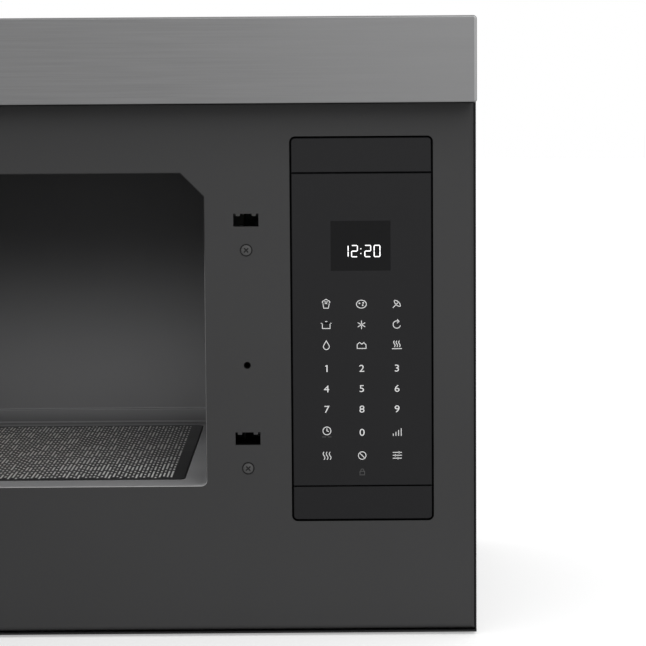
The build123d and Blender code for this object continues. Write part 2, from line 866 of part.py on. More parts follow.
with BuildPart() as stirrer_motor:
    with BuildSketch(level(guide_bottom)):
        with Locations((oven_x, plate_y)):
            Circle(stirrer_motor_radius)
            Rectangle(motor_ear_length, motor_ear_width)
    extrude(amount=-motor_ear_thick)
    with BuildSketch(level(guide_bottom - motor_ear_thick)):
        with Locations((oven_x, plate_y)):
            Circle(stirrer_motor_radius)
    extrude(amount=-stirrer_motor_length)
    chamfer(stirrer_motor.edges().group_by(Axis.Z)[0], stirrer_motor_length / 8)
    with BuildSketch(level(guide_bottom - motor_ear_thick - motor_plug_height)):
        with Locations((oven_x, plate_y - stirrer_motor_radius)):
            Rectangle(motor_plug_width, motor_plug_depth)
    extrude(amount=-motor_plug_height)
    with BuildSketch(level(guide_bottom)):
        with Locations((oven_x, plate_y)):
            Circle(shaft_radius + running_gap)
    extrude(amount=-stirrer_motor_bore, mode=Mode.SUBTRACT)
save(stirrer_motor, "stirrer_motor")

stirrer_level = well_floor + stirrer_lift
with BuildPart() as stirrer:
    with BuildSketch(level(guide_bottom - stirrer_motor_bore + fit_gap)):
        with Locations((oven_x, plate_y)):
            Circle(shaft_radius)
    extrude(amount=stirrer_level - guide_bottom + stirrer_motor_bore)
    with BuildSketch(level(stirrer_level)):
        with Locations((oven_x, plate_y)):
            Circle(stirrer_radius)
            with PolarLocations(stirrer_radius * 0.62, stirrer_arms):
                SlotOverall(stirrer_radius / 2, arm_slot_width, mode=Mode.SUBTRACT)
            with PolarLocations(stirrer_radius, stirrer_arms, 180 / stirrer_arms):
                Circle(rim_notch_radius, mode=Mode.SUBTRACT)
    extrude(amount=stirrer_sheet)
    with BuildSketch(level(stirrer_level + stirrer_sheet)):
        with Locations((oven_x, plate_y)):
            Circle(hub_radius)
    extrude(amount=stirrer_sheet * 2)
save(stirrer, "stirrer")

fins_start = guide_top + magnetron_wall
with BuildPart() as magnetron:
    with BuildSketch(level(guide_top)):
        with Locations((magnetron_x, plate_y)):
            Rectangle(magnetron_width, magnetron_length)
    extrude(amount=magnetron_wall)
    with BuildSketch(level(fins_start)):
        with Locations((magnetron_x, plate_y)):
            with GridLocations(magnetron_width - magnetron_wall, 0, 2, 1):
                Rectangle(magnetron_wall, magnetron_length)
            Circle(anode_radius)
    extrude(amount=magnetron_height)
    with BuildSketch(level(fins_start + magnetron_height)):
        with Locations((magnetron_x, plate_y)):
            Rectangle(magnetron_width, magnetron_length)
    extrude(amount=magnetron_wall)
    with BuildSketch(level(fins_start + magnetron_height + magnetron_wall)):
        with Locations((magnetron_x, plate_y)):
            RectangleRounded(magnetron_cap_width, magnetron_cap_length, magnetron_cap_corner)
    extrude(amount=magnetron_cap_height)
    fin_pitch = magnetron_height / (magnetron_fins + 1)
    for fin in range(magnetron_fins):
        with BuildSketch(level(fins_start + (fin + 1) * fin_pitch)):
            with Locations((magnetron_x, plate_y)):
                Rectangle(magnetron_width - magnetron_wall, magnetron_length * 0.7)
        extrude(amount=fin_sheet)
    with BuildSketch(level(guide_top)):
        with Locations((magnetron_x, plate_y)):
            Circle(coupling_radius / 2)
    extrude(amount=-antenna_length)
save(magnetron, "magnetron")

core_leg = core_width / 6
with BuildPart() as power_transformer:
    with BuildSketch(level(base_sheet)):
        with Locations((transformer_x, transformer_y)):
            Rectangle(core_width, core_depth)
    extrude(amount=core_height)
    with BuildSketch(Plane.XZ.offset(core_depth / 2 - transformer_y)):
        with Locations((transformer_x, bottom + base_sheet + core_height / 2)):
            with GridLocations(core_width / 2 - 0.5 * core_leg, 0, 2, 1):
                Rectangle(core_leg * 1.25, core_height - 2 * core_leg)
    extrude(amount=-core_depth, mode=Mode.SUBTRACT)
    with BuildSketch(level(base_sheet + core_leg + coil_clear)):
        with Locations((transformer_x, transformer_y)):
            RectangleRounded(
                core_width - 2 * core_leg - 2 * coil_clear, core_depth + 2 * coil_build, coil_corner
            )
    extrude(amount=core_height - 2 * core_leg - 2 * coil_clear)
    with BuildSketch(level(base_sheet)):
        with Locations((transformer_x, transformer_y)):
            Rectangle(core_width, core_depth + 2 * core_foot)
    extrude(amount=core_foot_thick)
save(power_transformer, "power_transformer")

with BuildPart() as capacitor:
    with BuildSketch(level(base_sheet)):
        with Locations((capacitor_x, transformer_y)):
            SlotOverall(capacitor_length, capacitor_width, 90)
    extrude(amount=capacitor_height)
    chamfer(capacitor.edges().group_by(Axis.Z)[-1], capacitor_edge)
    with BuildSketch(level(base_sheet + capacitor_height)):
        with Locations((capacitor_x, transformer_y)):
            with GridLocations(0, tag_spacing, 1, 2):
                Rectangle(tag_width, tag_depth)
    extrude(amount=tag_height)
save(capacitor, "capacitor")

with BuildPart() as diode:
    with BuildSketch(level(base_sheet + capacitor_height + tag_height - diode_height)):
        with Locations((capacitor_x, transformer_y)):
            SlotOverall(tag_spacing - tag_depth - 2 * fit_gap, diode_width, 90)
    extrude(amount=diode_height)
save(diode, "diode")

# ---------------------------------------------------------------- cooling fan
shroud_left = fan_x - fan_radius - shroud_side
shroud_low = fan_height - fan_radius - shroud_end
shroud_high = fan_height + fan_radius + shroud_end
with BuildPart() as fan_shroud:
    with BuildSketch(Plane.XZ.offset(-fan_y)):
        with Locations((shroud_left, bottom + shroud_low)):
            Rectangle(
                inner_half - shroud_left, shroud_high - shroud_low, align=(Align.MIN, Align.MIN)
            )
        with Locations((fan_x, bottom + fan_height)):
            Circle(fan_radius + shroud_ring, mode=Mode.SUBTRACT)
            with PolarLocations(0, 3, 90):
                Rectangle(shroud_arm, fan_radius + 2 * shroud_ring, align=upright)
            Circle(fan_motor_radius)
            Circle(fan_shaft_radius + shroud_sheet, mode=Mode.SUBTRACT)
    extrude(amount=shroud_sheet)
    with BuildSketch(Plane.XZ.offset(shroud_sheet - fan_y)):
        with Locations((fan_x, bottom + fan_height)):
            Circle(fan_radius + 2 * shroud_ring)
            Circle(fan_radius + shroud_ring, mode=Mode.SUBTRACT)
    extrude(amount=fan_depth)
save(fan_shroud, "fan_shroud")

with BuildPart() as fan_motor:
    with BuildSketch(Plane.XZ.offset(-fan_y)):
        with Locations((fan_x, bottom + fan_height)):
            Circle(fan_motor_radius)
    extrude(amount=-fan_motor_length)
    chamfer(fan_motor.edges().group_by(Axis.Y)[-1], fan_edge)
    with BuildSketch(Plane.XZ.offset(-fan_y)):
        with Locations((fan_x, bottom + fan_height)):
            Circle(fan_shaft_radius + running_gap)
    extrude(amount=-fan_bore_depth, mode=Mode.SUBTRACT)
save(fan_motor, "fan_motor")

fan_front = shroud_sheet + fan_depth - fan_y
with BuildPart() as cooling_fan:
    with BuildSketch(Plane.XZ.offset(fan_front)):
        with Locations((fan_x, bottom + fan_height)):
            Circle(fan_hub_radius)
    extrude(amount=fan_face_gap - fan_depth)
    chamfer(cooling_fan.edges().group_by(Axis.Y)[0], fan_edge)
    with BuildSketch(Plane.XZ.offset(fan_front)):
        with Locations((fan_x, bottom + fan_height)):
            Circle(fan_shaft_radius)
    extrude(amount=-(fan_depth + shroud_sheet + fan_bore_depth - fit_gap))
    for blade in range(fan_blades):
        turn = 360 / fan_blades * blade
        spoke = (cos(radians(turn)), 0, sin(radians(turn)))
        root_x = (-spoke[2], 0, spoke[0])
        centre = Vector(fan_x, -(fan_front - fan_depth / 2), bottom + fan_height)
        for reach, chord in ((fan_hub_radius - blade_root, root_chord), (fan_radius, tip_chord)):
            place = Plane(origin=centre + Vector(*spoke) * reach, x_dir=root_x, z_dir=spoke)
            with BuildSketch(place):
                Rectangle(chord, blade_thick, rotation=fan_pitch)
        loft()
    with BuildSketch(Plane.XZ.offset(fan_front)):
        with Locations((fan_x, bottom + fan_height)):
            Circle(fan_radius)
    extrude(amount=-2 * (fan_depth + fan_bore_depth), mode=Mode.INTERSECT)
save(cooling_fan, "cooling_fan")

# ---------------------------------------------------------------- vent blower
scroll_first = wheel_radius + scroll_gap
scroll_second = scroll_first + scroll_growth
scroll_third = scroll_second + scroll_growth
blower_height = liner_top + scroll_wall + scroll_second
outlet_height = unit_height - collar_drop


def scroll_outline(grow):
    """The blower's volute from the side: three quarter circles, each wider, and a throat."""
    tongue = (blower_y, bottom + blower_height + scroll_first)
    widest_y = blower_y + scroll_growth
    rear_y = widest_y + scroll_third
    middle = bottom + blower_height
    with BuildSketch() as outline:
        with BuildLine():
            CenterArc((blower_y, middle), scroll_first, 90, 90)
            CenterArc((widest_y, middle), scroll_second, 180, 90)
            CenterArc((widest_y, middle + scroll_growth), scroll_third, 270, 90)
            Polyline(
                (rear_y, middle + scroll_growth),
                (rear_y, bottom + outlet_height),
                (blower_y, bottom + outlet_height),
                tongue,
            )
        make_face()
        if grow:
            offset(amount=grow)
    return outline.sketch


for side, name in ((-1, "blower_housing_left"), (1, "blower_housing_right")):
    inner_end = side * blower_x - scroll_width / 2
    with BuildPart() as blower_housing:
        with BuildSketch(Plane.YZ.offset(inner_end - scroll_wall)):
            add(scroll_outline(scroll_wall))
        extrude(amount=scroll_width + 2 * scroll_wall)
        with BuildSketch(Plane.YZ.offset(inner_end)):
            add(scroll_outline(0))
        extrude(amount=scroll_width, mode=Mode.SUBTRACT)
        with BuildSketch(Plane.YZ.offset(inner_end - scroll_wall)):
            with Locations((blower_y, bottom + blower_height)):
                Circle(inlet_radius)
        extrude(amount=scroll_width + 2 * scroll_wall, mode=Mode.SUBTRACT)
        with BuildSketch(level(outlet_height)):
            with Locations((side * blower_x, blower_y + (scroll_third + scroll_growth) / 2)):
                Rectangle(scroll_width, scroll_third + scroll_growth)
        extrude(amount=scroll_wall, mode=Mode.SUBTRACT)
        split(bisect_by=level(outlet_height), keep=Keep.BOTTOM)
    save(blower_housing, name)

motor_reach = blower_x - scroll_width / 2 - scroll_wall
with BuildPart() as blower_motor:
    with BuildSketch(Plane.YZ.offset(blower_motor_end - motor_reach)):
        with Locations((blower_y, bottom + blower_height)):
            Circle(blower_motor_radius)
    extrude(amount=2 * (motor_reach - blower_motor_end))
    chamfer(blower_motor.edges().filter_by(GeomType.CIRCLE), blower_motor_edge)
    for end in (-motor_reach, motor_reach - blower_strap_thick):
        with BuildSketch(Plane.YZ.offset(end)):
            with Locations((blower_y, bottom + blower_height)):
                Rectangle(blower_strap_width, 2 * (inlet_radius + blower_strap_over))
        extrude(amount=blower_strap_thick)
    with BuildSketch(Plane.YZ.offset(-motor_reach)):
        with Locations((blower_y, bottom + blower_height)):
            Circle(hub_radius)
    extrude(amount=2 * motor_reach)
    with BuildSketch(Plane.YZ.offset(-motor_reach)):
        with Locations((blower_y, bottom + blower_height)):
            Circle(shaft_radius + running_gap)
    extrude(amount=2 * motor_reach, mode=Mode.SUBTRACT)
save(blower_motor, "blower_motor")

shaft_half = blower_x + wheel_width / 2
with BuildPart() as blower_shaft:
    with BuildSketch(Plane.YZ.offset(-shaft_half)):
        with Locations((blower_y, bottom + blower_height)):
            Circle(shaft_radius)
    extrude(amount=2 * shaft_half)
save(blower_shaft, "blower_shaft")

blade_ring = wheel_radius - blade_chord / 2 - blade_set_in
for side, name in ((-1, "blower_wheel_left"), (1, "blower_wheel_right")):
    wheel_start = side * blower_x - wheel_width / 2
    with BuildPart() as blower_wheel:
        with BuildSketch(Plane.YZ.offset(wheel_start)):
            with Locations((blower_y, bottom + blower_height)):
                with PolarLocations(blade_ring, wheel_blades):
                    Rectangle(blade_chord, blade_sheet, rotation=blade_angle)
        extrude(amount=wheel_width)
        for start in (wheel_start, wheel_start + wheel_width - wheel_ring):
            with BuildSketch(Plane.YZ.offset(start)):
                with Locations((blower_y, bottom + blower_height)):
                    Circle(wheel_radius)
                    Circle(wheel_radius - blade_chord, mode=Mode.SUBTRACT)
            extrude(amount=wheel_ring)
        with BuildSketch(Plane.YZ.offset(side * blower_x - wheel_ring / 2)):
            with Locations((blower_y, bottom + blower_height)):
                Circle(wheel_radius - wheel_web_set_in)
        extrude(amount=wheel_ring)
        with BuildSketch(Plane.YZ.offset(side * blower_x - hub_radius)):
            with Locations((blower_y, bottom + blower_height)):
                Circle(hub_radius)
        extrude(amount=2 * hub_radius)
        with BuildSketch(Plane.YZ.offset(wheel_start)):
            with Locations((blower_y, bottom + blower_height)):
                Circle(shaft_radius)
        extrude(amount=wheel_width, mode=Mode.SUBTRACT)
    save(blower_wheel, name)

# ---------------------------------------------------------------- exhaust collar and damper
rod_y = duct_y + duct_length / 2 - rod_set_in
flap_level = unit_height - flap_drop
with BuildPart() as exhaust_collar:
    with BuildSketch(level(outlet_height)):
        with Locations((0, duct_y)):
            Rectangle(duct_width + 2 * collar_wall, duct_length + 2 * collar_wall)
            Rectangle(duct_width, duct_length, mode=Mode.SUBTRACT)
    extrude(amount=collar_drop + collar_rise)
    with BuildSketch(roof):
        with Locations((0, duct_y)):
            Rectangle(duct_width + 2 * collar_flange, duct_length + 2 * collar_flange)
            Rectangle(duct_width, duct_length, mode=Mode.SUBTRACT)
    extrude(amount=collar_wall)
    with BuildSketch(level(flap_level - collar_wall)):
        with Locations((0, duct_y - duct_length / 2)):
            Rectangle(duct_width, collar_lip, align=upright)
    extrude(amount=collar_wall)
    with BuildSketch(Plane.YZ.offset(-duct_width)):
        with Locations((rod_y, bottom + flap_level + flap_sheet / 2)):
            Circle(rod_radius + running_gap)
    extrude(amount=2 * duct_width, mode=Mode.SUBTRACT)
save(exhaust_collar, "exhaust_collar")

flap_reach = rod_y - (duct_y - duct_length / 2) - flap_end_gap
with BuildPart() as damper_flap:
    with BuildSketch(level(flap_level)):
        with Locations((0, rod_y)):
            Rectangle(duct_width - 2 * flap_side_gap, flap_reach, align=hung)
    extrude(amount=flap_sheet)
    with BuildSketch(Plane.YZ.offset(-duct_width / 2 - collar_wall)):
        with Locations((rod_y, bottom + flap_level + flap_sheet / 2)):
            Circle(rod_radius)
    extrude(amount=duct_width + 2 * collar_wall)
save(damper_flap, "damper_flap")

# ---------------------------------------------------------------- underside
for x, name in zip(filter_xs, ("grease_filter_left", "grease_filter_right")):
    with BuildPart() as grease_filter:
        with BuildSketch(level(base_sheet)):
            with Locations((x, filter_y)):
                RectangleRounded(filter_width, filter_length, filter_corner)
        extrude(amount=filter_thick)
        for start in (base_sheet, base_sheet + filter_thick - filter_recess):
            with BuildSketch(level(start)):
                with Locations((x, filter_y)):
                    Rectangle(filter_width - 2 * filter_rim, filter_length - 2 * filter_rim)
            extrude(amount=filter_recess, mode=Mode.SUBTRACT)
        with BuildSketch(level(base_sheet + filter_recess)):
            with Locations((x, filter_y - filter_length / 2 + filter_rim)):
                Rectangle(pull_width, pull_depth, align=upright)
                Rectangle(
                    pull_width - 2 * pull_wall, pull_depth / 2, align=upright, mode=Mode.SUBTRACT
                )
        extrude(amount=-pull_drop)
    save(grease_filter, name)

with BuildPart() as task_lenses:
    with BuildSketch(level(0)):
        with Locations([(x, lens_y) for x in filter_xs]):
            Rectangle(lens_width, lens_length)
    extrude(amount=base_sheet)
    with BuildSketch(level(base_sheet)):
        with Locations([(x, lens_y) for x in filter_xs]):
            Rectangle(lens_width + 2 * lens_rim, lens_length + 2 * lens_rim)
    extrude(amount=lens_rim_thick)
save(task_lenses, "task_lenses")

tray_start = base_sheet + lens_rim_thick
tray_inner_width = lens_width - 2 * lamp_tray_wall
tray_inner_length = lens_length - 2 * lamp_tray_wall
with BuildPart() as task_lamps:
    with BuildSketch(level(tray_start)):
        with Locations([(x, lens_y) for x in filter_xs]):
            Rectangle(lens_width, lens_length)
            Rectangle(tray_inner_width, tray_inner_length, mode=Mode.SUBTRACT)
    extrude(amount=lamp_tray_height)
    with BuildSketch(level(tray_start + lamp_tray_height)):
        with Locations([(x, lens_y) for x in filter_xs]):
            Rectangle(lens_width, lens_length)
    extrude(amount=lamp_tray_wall)
    with BuildSketch(level(tray_start + lamp_tray_height)):
        with Locations([(x, lens_y) for x in filter_xs]):
            with GridLocations(cooktop_bulb_pitch, 0, cooktop_bulbs, 1):
                Circle(cooktop_bulb_radius)
    extrude(amount=-cooktop_bulb_length)
save(task_lamps, "task_lamps")

# ---------------------------------------------------------------- control panel
seam_half = seam_gap / 2
panel_parts = (
    ("panel_cap_bottom", panel_low, glass_low - seam_half, 0),
    ("touch_glass", glass_low + seam_half, glass_high - seam_half, None),
    ("panel_cap_top", glass_high + seam_half, panel_high, -1),
)
for name, low, high, rounded in panel_parts:
    with BuildPart() as panel_piece:
        with BuildSketch(behind(panel_set_back)) as outline:
            with Locations((panel_x, low)):
                Rectangle(panel_width, high - low, align=upright)
            if rounded is not None:
                fillet(outline.vertices().group_by(Axis.Y)[rounded], panel_corner)
        extrude(amount=-panel_thick)
        chamfer(panel_piece.faces().sort_by(Axis.Y)[0].edges(), panel_edge)
    save(panel_piece, name)

rim_width = panel_width + 2 * (panel_gap + housing_rim)
rim_height = panel_high - panel_low + 2 * (panel_gap + housing_rim)
with BuildPart() as panel_housing:
    with BuildSketch(behind(frame_sheet)):
        with Locations((panel_x, panel_centre)):
            RectangleRounded(rim_width, rim_height, panel_corner + panel_gap + housing_rim)
    extrude(amount=frame_sheet - housing_depth)
    with BuildSketch(behind(frame_sheet)):
        with Locations((panel_x, panel_centre)):
            Rectangle(rim_width - 2 * housing_wall, rim_height - 2 * housing_wall)
    extrude(amount=frame_sheet - panel_back, mode=Mode.SUBTRACT)
    with BuildSketch(behind(panel_back + housing_wall)):
        with Locations((panel_x, panel_centre)):
            Rectangle(rim_width - 2 * housing_wall, rim_height - 2 * housing_wall)
    extrude(amount=panel_back + housing_wall - housing_depth, mode=Mode.SUBTRACT)
    with BuildSketch(behind(panel_back)):
        with Locations((display_x, display_centre)):
            Rectangle(display_width + 2 * fit_gap, display_height + 2 * fit_gap)
    extrude(amount=-housing_wall, mode=Mode.SUBTRACT)
save(panel_housing, "panel_housing")

with BuildPart() as display_module:
    with BuildSketch(behind(panel_back)):
        with Locations((display_x, display_centre)):
            Rectangle(display_width, display_height)
    extrude(amount=-display_thick)
save(display_module, "display_module")

board_width = rim_width - 2 * (housing_wall + board_clear)
board_height = panel_high - panel_low - board_short
board_mid = panel_centre - board_down
stand_start = panel_back + housing_wall
with BuildPart() as control_board:
    with BuildSketch(behind(stand_start)):
        with Locations((panel_x, board_mid)):
            with GridLocations(
                board_width - 2 * stand_off_inset, board_height - 2 * stand_off_inset, 2, 2
            ):
                Circle(stand_off_radius)
    extrude(amount=-board_stand_off)
    with BuildSketch(behind(stand_start + board_stand_off)):
        with Locations((panel_x, board_mid)):
            Rectangle(board_width, board_height)
    extrude(amount=-board_sheet)
    with BuildSketch(behind(stand_start + board_stand_off + board_sheet)):
        with Locations((panel_x, board_mid)):
            with GridLocations(0, relay_pitch, 1, relays):
                Rectangle(relay_width, relay_height)
        with Locations((panel_x - board_coil_left, board_mid - board_coil_down)):
            Rectangle(board_coil_width, board_coil_height)
        with Locations((panel_x + board_plug_right, board_mid + board_plug_up)):
            Rectangle(board_plug_width, board_plug_height)
    extrude(amount=-board_part_depth)
save(control_board, "control_board")

# ---------------------------------------------------------------- latch board and switches
board_low = latch_heights[0] - screw_drop - latch_board_over
board_high = latch_heights[1] + latch_board_over
board_start = frame_sheet + latch_board_face
rib_offset = slot_height / 2 + latch_board_rib
with BuildPart() as latch_board:
    with BuildSketch(behind(frame_sheet)):
        with Locations((latch_x, board_low)):
            Rectangle(latch_board_width, board_high - board_low, align=upright)
        with Locations([(latch_x, h) for h in latch_heights]):
            Rectangle(
                slot_width + 2 * slot_clear, slot_height + 2 * slot_clear, mode=Mode.SUBTRACT
            )
        with Locations([(latch_x, h) for h in screw_heights]):
            Circle(screw_shank_radius, mode=Mode.SUBTRACT)
        with Locations((latch_x, locating_hole_height)):
            Circle(locating_hole_radius - slot_clear, mode=Mode.SUBTRACT)
    extrude(amount=-latch_board_face)
    with BuildSketch(behind(board_start)):
        with Locations((latch_x, board_low)):
            with GridLocations(latch_board_width - latch_board_wall, 0, 2, 1):
                Rectangle(latch_board_wall, board_high - board_low, align=upright)
        with Locations([(latch_x, h + s * rib_offset) for h in latch_heights for s in (-1, 1)]):
            Rectangle(latch_board_width, latch_board_wall)
        with Locations([(latch_x, h) for h in screw_heights]):
            Circle(2.2 * screw_shank_radius)
            Circle(screw_shank_radius, mode=Mode.SUBTRACT)
    extrude(amount=board_start - latch_board_depth)
    with BuildSketch(behind(board_start)):
        with Locations([(latch_x, h - slot_height / 2) for h in latch_heights]):
            Rectangle(latch_board_width - latch_board_wall, latch_shelf_thick, align=hung)
    extrude(amount=-latch_shelf_depth)
save(latch_board, "latch_board")

switch_heights = [latch_heights[0] + lower_switch_rise]
switch_heights.extend(latch_heights[1] - drop for drop in upper_switch_drops)
with BuildPart() as interlock_switches:
    with BuildSketch(behind(board_start)):
        with Locations([(latch_x, h) for h in switch_heights]):
            Rectangle(switch_width, switch_height)
    extrude(amount=-switch_depth)
    with BuildSketch(behind(board_start + switch_depth)):
        with Locations([(latch_x, h) for h in switch_heights]):
            with GridLocations(0, switch_tag_pitch, 1, 3):
                Rectangle(switch_tag_width, switch_tag_thick)
    extrude(amount=-switch_tag_length)
save(interlock_switches, "interlock_switches")

# ---------------------------------------------------------------- door
window_width = door_width - 2 * window_margin_side
window_height = door_height - 2 * window_margin_end
skin_inner = 2 * skin_sheet

with BuildPart() as door_skin:
    with BuildSketch(door_plane.offset(door_front)):
        with Locations((door_mid, door_mid_height)):
            Rectangle(door_width, door_height)
    extrude(amount=-skin_depth)
    fillet(door_skin.faces().sort_by(out_axis)[-1].edges(), skin_radius)
    offset(amount=-skin_sheet, openings=door_skin.faces().sort_by(out_axis)[0])
    with BuildSketch(door_plane.offset(door_front)):
        with Locations((door_mid, door_mid_height)):
            RectangleRounded(window_width, window_height, window_radius)
    extrude(amount=-skin_sheet, mode=Mode.SUBTRACT)
    with BuildSketch(door_plan.offset(door_low)):
        Circle(pin_hole_radius)
    extrude(amount=door_height, mode=Mode.SUBTRACT)
save(door_skin, "door_skin")

with BuildPart() as door_glass:
    with BuildSketch(door_plane.offset(glass_back)):
        with Locations((door_mid, door_mid_height)):
            RectangleRounded(
                window_width + 2 * glass_overlap,
                window_height + 2 * glass_overlap,
                window_radius,
            )
    extrude(amount=glass_thick)
save(door_glass, "door_glass")

ring_width = door_width - skin_inner - 2 * fit_gap
ring_height = door_height - skin_inner - 2 * fit_gap
ring_depth = glass_back - frame_back
guide_offset = (key_width + frame_wall) / 2 + fit_gap
key_mid_height = sum(latch_heights) / 2
ring_top = door_high - skin_sheet - fit_gap
ring_bottom = door_low + skin_sheet + fit_gap
key_low = latch_heights[0] - key_over
key_high = latch_heights[1] + key_over
spring_top = key_high + spring_turns * spring_pitch + 2 * spring_wire
post_heights = (handle_low + post_inset, handle_high - post_inset)
with BuildPart() as door_frame:
    with BuildSketch(door_plane.offset(glass_back)):
        with Locations((door_mid, door_mid_height)):
            Rectangle(ring_width, ring_height)
            Rectangle(window_width, window_height, mode=Mode.SUBTRACT)
    extrude(amount=-ring_depth)
    with BuildSketch(door_plane.offset(frame_back)):
        with Locations((door_mid, door_mid_height)):
            Rectangle(ring_width - 2 * frame_wall, ring_height - 2 * frame_wall)
            Rectangle(
                window_width + 2 * frame_wall, window_height + 2 * frame_wall, mode=Mode.SUBTRACT
            )
    extrude(amount=ring_depth - frame_web, mode=Mode.SUBTRACT)
    with BuildSketch(door_plane.offset(frame_back)):
        with Locations((latch_u, key_mid_height)):
            with GridLocations(2 * guide_offset, 0, 2, 1):
                Rectangle(frame_wall, key_guide_length)
        with Locations((latch_u, key_low)):
            Rectangle(key_width + 2 * frame_wall, frame_wall, align=hung)
        with Locations((latch_u, spring_top)):
            Rectangle(key_width + 2 * frame_wall, frame_wall, align=upright)
    extrude(amount=ring_depth)
    with BuildSketch(door_plane.offset(glass_back)):
        with Locations([(handle_u, h) for h in post_heights]):
            Circle(post_width / 2)
    extrude(amount=glass_thick)
    for end, sense in ((ring_top, -1), (ring_bottom, 1)):
        with BuildSketch(door_plan.offset(end)):
            Rectangle(2 * (bush_radius + frame_wall), 2 * glass_back)
        extrude(amount=sense * (bush_length + frame_wall))
        with BuildSketch(door_plan.offset(end)):
            Circle(bush_radius)
        extrude(amount=sense * bush_length, mode=Mode.SUBTRACT)
save(door_frame, "door_frame")

leaf_width = door_width - 2 * cover_inset
leaf_height = door_height - 2 * cover_inset
hook_opening = (hook_width + 2 * key_guide_gap, slot_height)
with BuildPart() as inner_panel:
    with BuildSketch(door_plane.offset(panel_face)):
        add(oven_outline(choke_inner + inner_sheet, sight_mid))
        add(oven_outline(choke_inner, sight_mid), mode=Mode.SUBTRACT)
    extrude(amount=-choke_reach)
    with BuildSketch(door_plane.offset(panel_face)):
        with Locations((sight_mid, oven_mid_height)):
            across = int((oven_width - 2 * oven_chamfer) / choke_pitch)
            with GridLocations(choke_pitch, oven_height + 2 * choke_inner, across, 2):
                Rectangle(choke_gap, 4 * inner_sheet)
            with GridLocations(
                oven_width + 2 * choke_inner,
                choke_pitch,
                2,
                int((oven_height - 2 * oven_chamfer) / choke_pitch),
            ):
                Rectangle(4 * inner_sheet, choke_gap)
    extrude(amount=-choke_reach, mode=Mode.SUBTRACT)
    with BuildSketch(door_plane.offset(panel_face)):
        add(oven_outline(choke_outer + inner_sheet, sight_mid))
        add(oven_outline(choke_outer, sight_mid), mode=Mode.SUBTRACT)
    extrude(amount=-choke_reach)
    with BuildSketch(door_plane.offset(panel_face)):
        with Locations((door_mid, door_mid_height)):
            RectangleRounded(leaf_width, leaf_height, cover_radius)
        with Locations((sight_mid, oven_mid_height)):
            RectangleRounded(
                sight_width - 2 * sight_lip,
                sight_height - 2 * sight_lip,
                sight_radius,
                mode=Mode.SUBTRACT,
            )
        with Locations([(latch_u, h) for h in latch_heights]):
            Rectangle(*hook_opening, mode=Mode.SUBTRACT)
    extrude(amount=inner_sheet)
save(inner_panel, "inner_panel")

with BuildPart() as door_screen:
    with BuildSketch(door_plane.offset(frame_back)):
        with Locations((sight_mid, oven_mid_height)):
            screen_more = 2 * (screen_overlap - sight_lip)
            RectangleRounded(sight_width + screen_more, sight_height + screen_more, sight_radius)
    extrude(amount=screen_sheet)
save(door_screen, "door_screen")

with BuildPart() as choke_cover:
    with BuildSketch(door_plane.offset(door_back)):
        with Locations((door_mid, door_mid_height)):
            RectangleRounded(leaf_width, leaf_height, cover_radius)
    extrude(amount=cover_depth)
    fillet(choke_cover.faces().sort_by(out_axis)[0].edges(), cover_radius)
    with BuildSketch(door_plane.offset(door_back + cover_wall)):
        with Locations((door_mid, door_mid_height)):
            Rectangle(leaf_width - 2 * cover_wall, leaf_height - 2 * cover_wall)
    extrude(amount=cover_depth - cover_wall, mode=Mode.SUBTRACT)
    with BuildSketch(door_plane.offset(door_back + cover_wall)):
        with Locations((sight_mid, oven_mid_height)):
            holder = 2 * (cover_wall + fit_gap + sight_lip)
            RectangleRounded(sight_width + holder, sight_height + holder, sight_radius)
    extrude(amount=cover_depth - cover_wall)
    with BuildSketch(door_plane.offset(door_back + cover_wall)):
        with Locations((sight_mid, oven_mid_height)):
            held = 2 * (fit_gap + sight_lip)
            RectangleRounded(sight_width + held, sight_height + held, sight_radius)
    extrude(amount=cover_depth - cover_wall, mode=Mode.SUBTRACT)
    with BuildSketch(door_plane.offset(door_back)):
        with Locations((sight_mid, oven_mid_height)):
            RectangleRounded(sight_width, sight_height, sight_radius)
        with Locations([(latch_u, h) for h in latch_heights]):
            Rectangle(*hook_opening)
    extrude(amount=cover_wall, mode=Mode.SUBTRACT)
    rim = choke_cover.faces().sort_by(out_axis)[0].inner_wires().sort_by(lambda w: w.length)[-1]
    fillet(rim.edges(), cover_wall / 2)
save(choke_cover, "choke_cover")

with BuildPart() as inner_window:
    with BuildSketch(door_plane.offset(door_back + cover_wall)):
        with Locations((sight_mid, oven_mid_height)):
            RectangleRounded(
                sight_width + 2 * sight_lip, sight_height + 2 * sight_lip, sight_radius
            )
    extrude(amount=inner_sheet)
save(inner_window, "inner_window")

handle_back = door_front + handle_reach - handle_thick
with BuildPart() as handle_bar:
    with BuildSketch(door_plane.offset(handle_back)):
        with Locations((handle_u, handle_low)):
            Rectangle(handle_width, handle_high - handle_low, align=upright)
    extrude(amount=handle_thick)
    fillet(handle_bar.edges().filter_by(Axis.Z), handle_round)
    fillet(handle_bar.faces().sort_by(Axis.Z)[-1].edges(), handle_round / 4)
    fillet(handle_bar.faces().sort_by(Axis.Z)[0].edges(), handle_round / 4)
save(handle_bar, "handle_bar")

with BuildPart() as handle_posts:
    with BuildSketch(door_plane.offset(door_front)):
        with Locations([(handle_u, h) for h in post_heights]):
            SlotOverall(post_length, post_width, 90)
    extrude(amount=handle_reach - handle_thick)
save(handle_posts, "handle_posts")

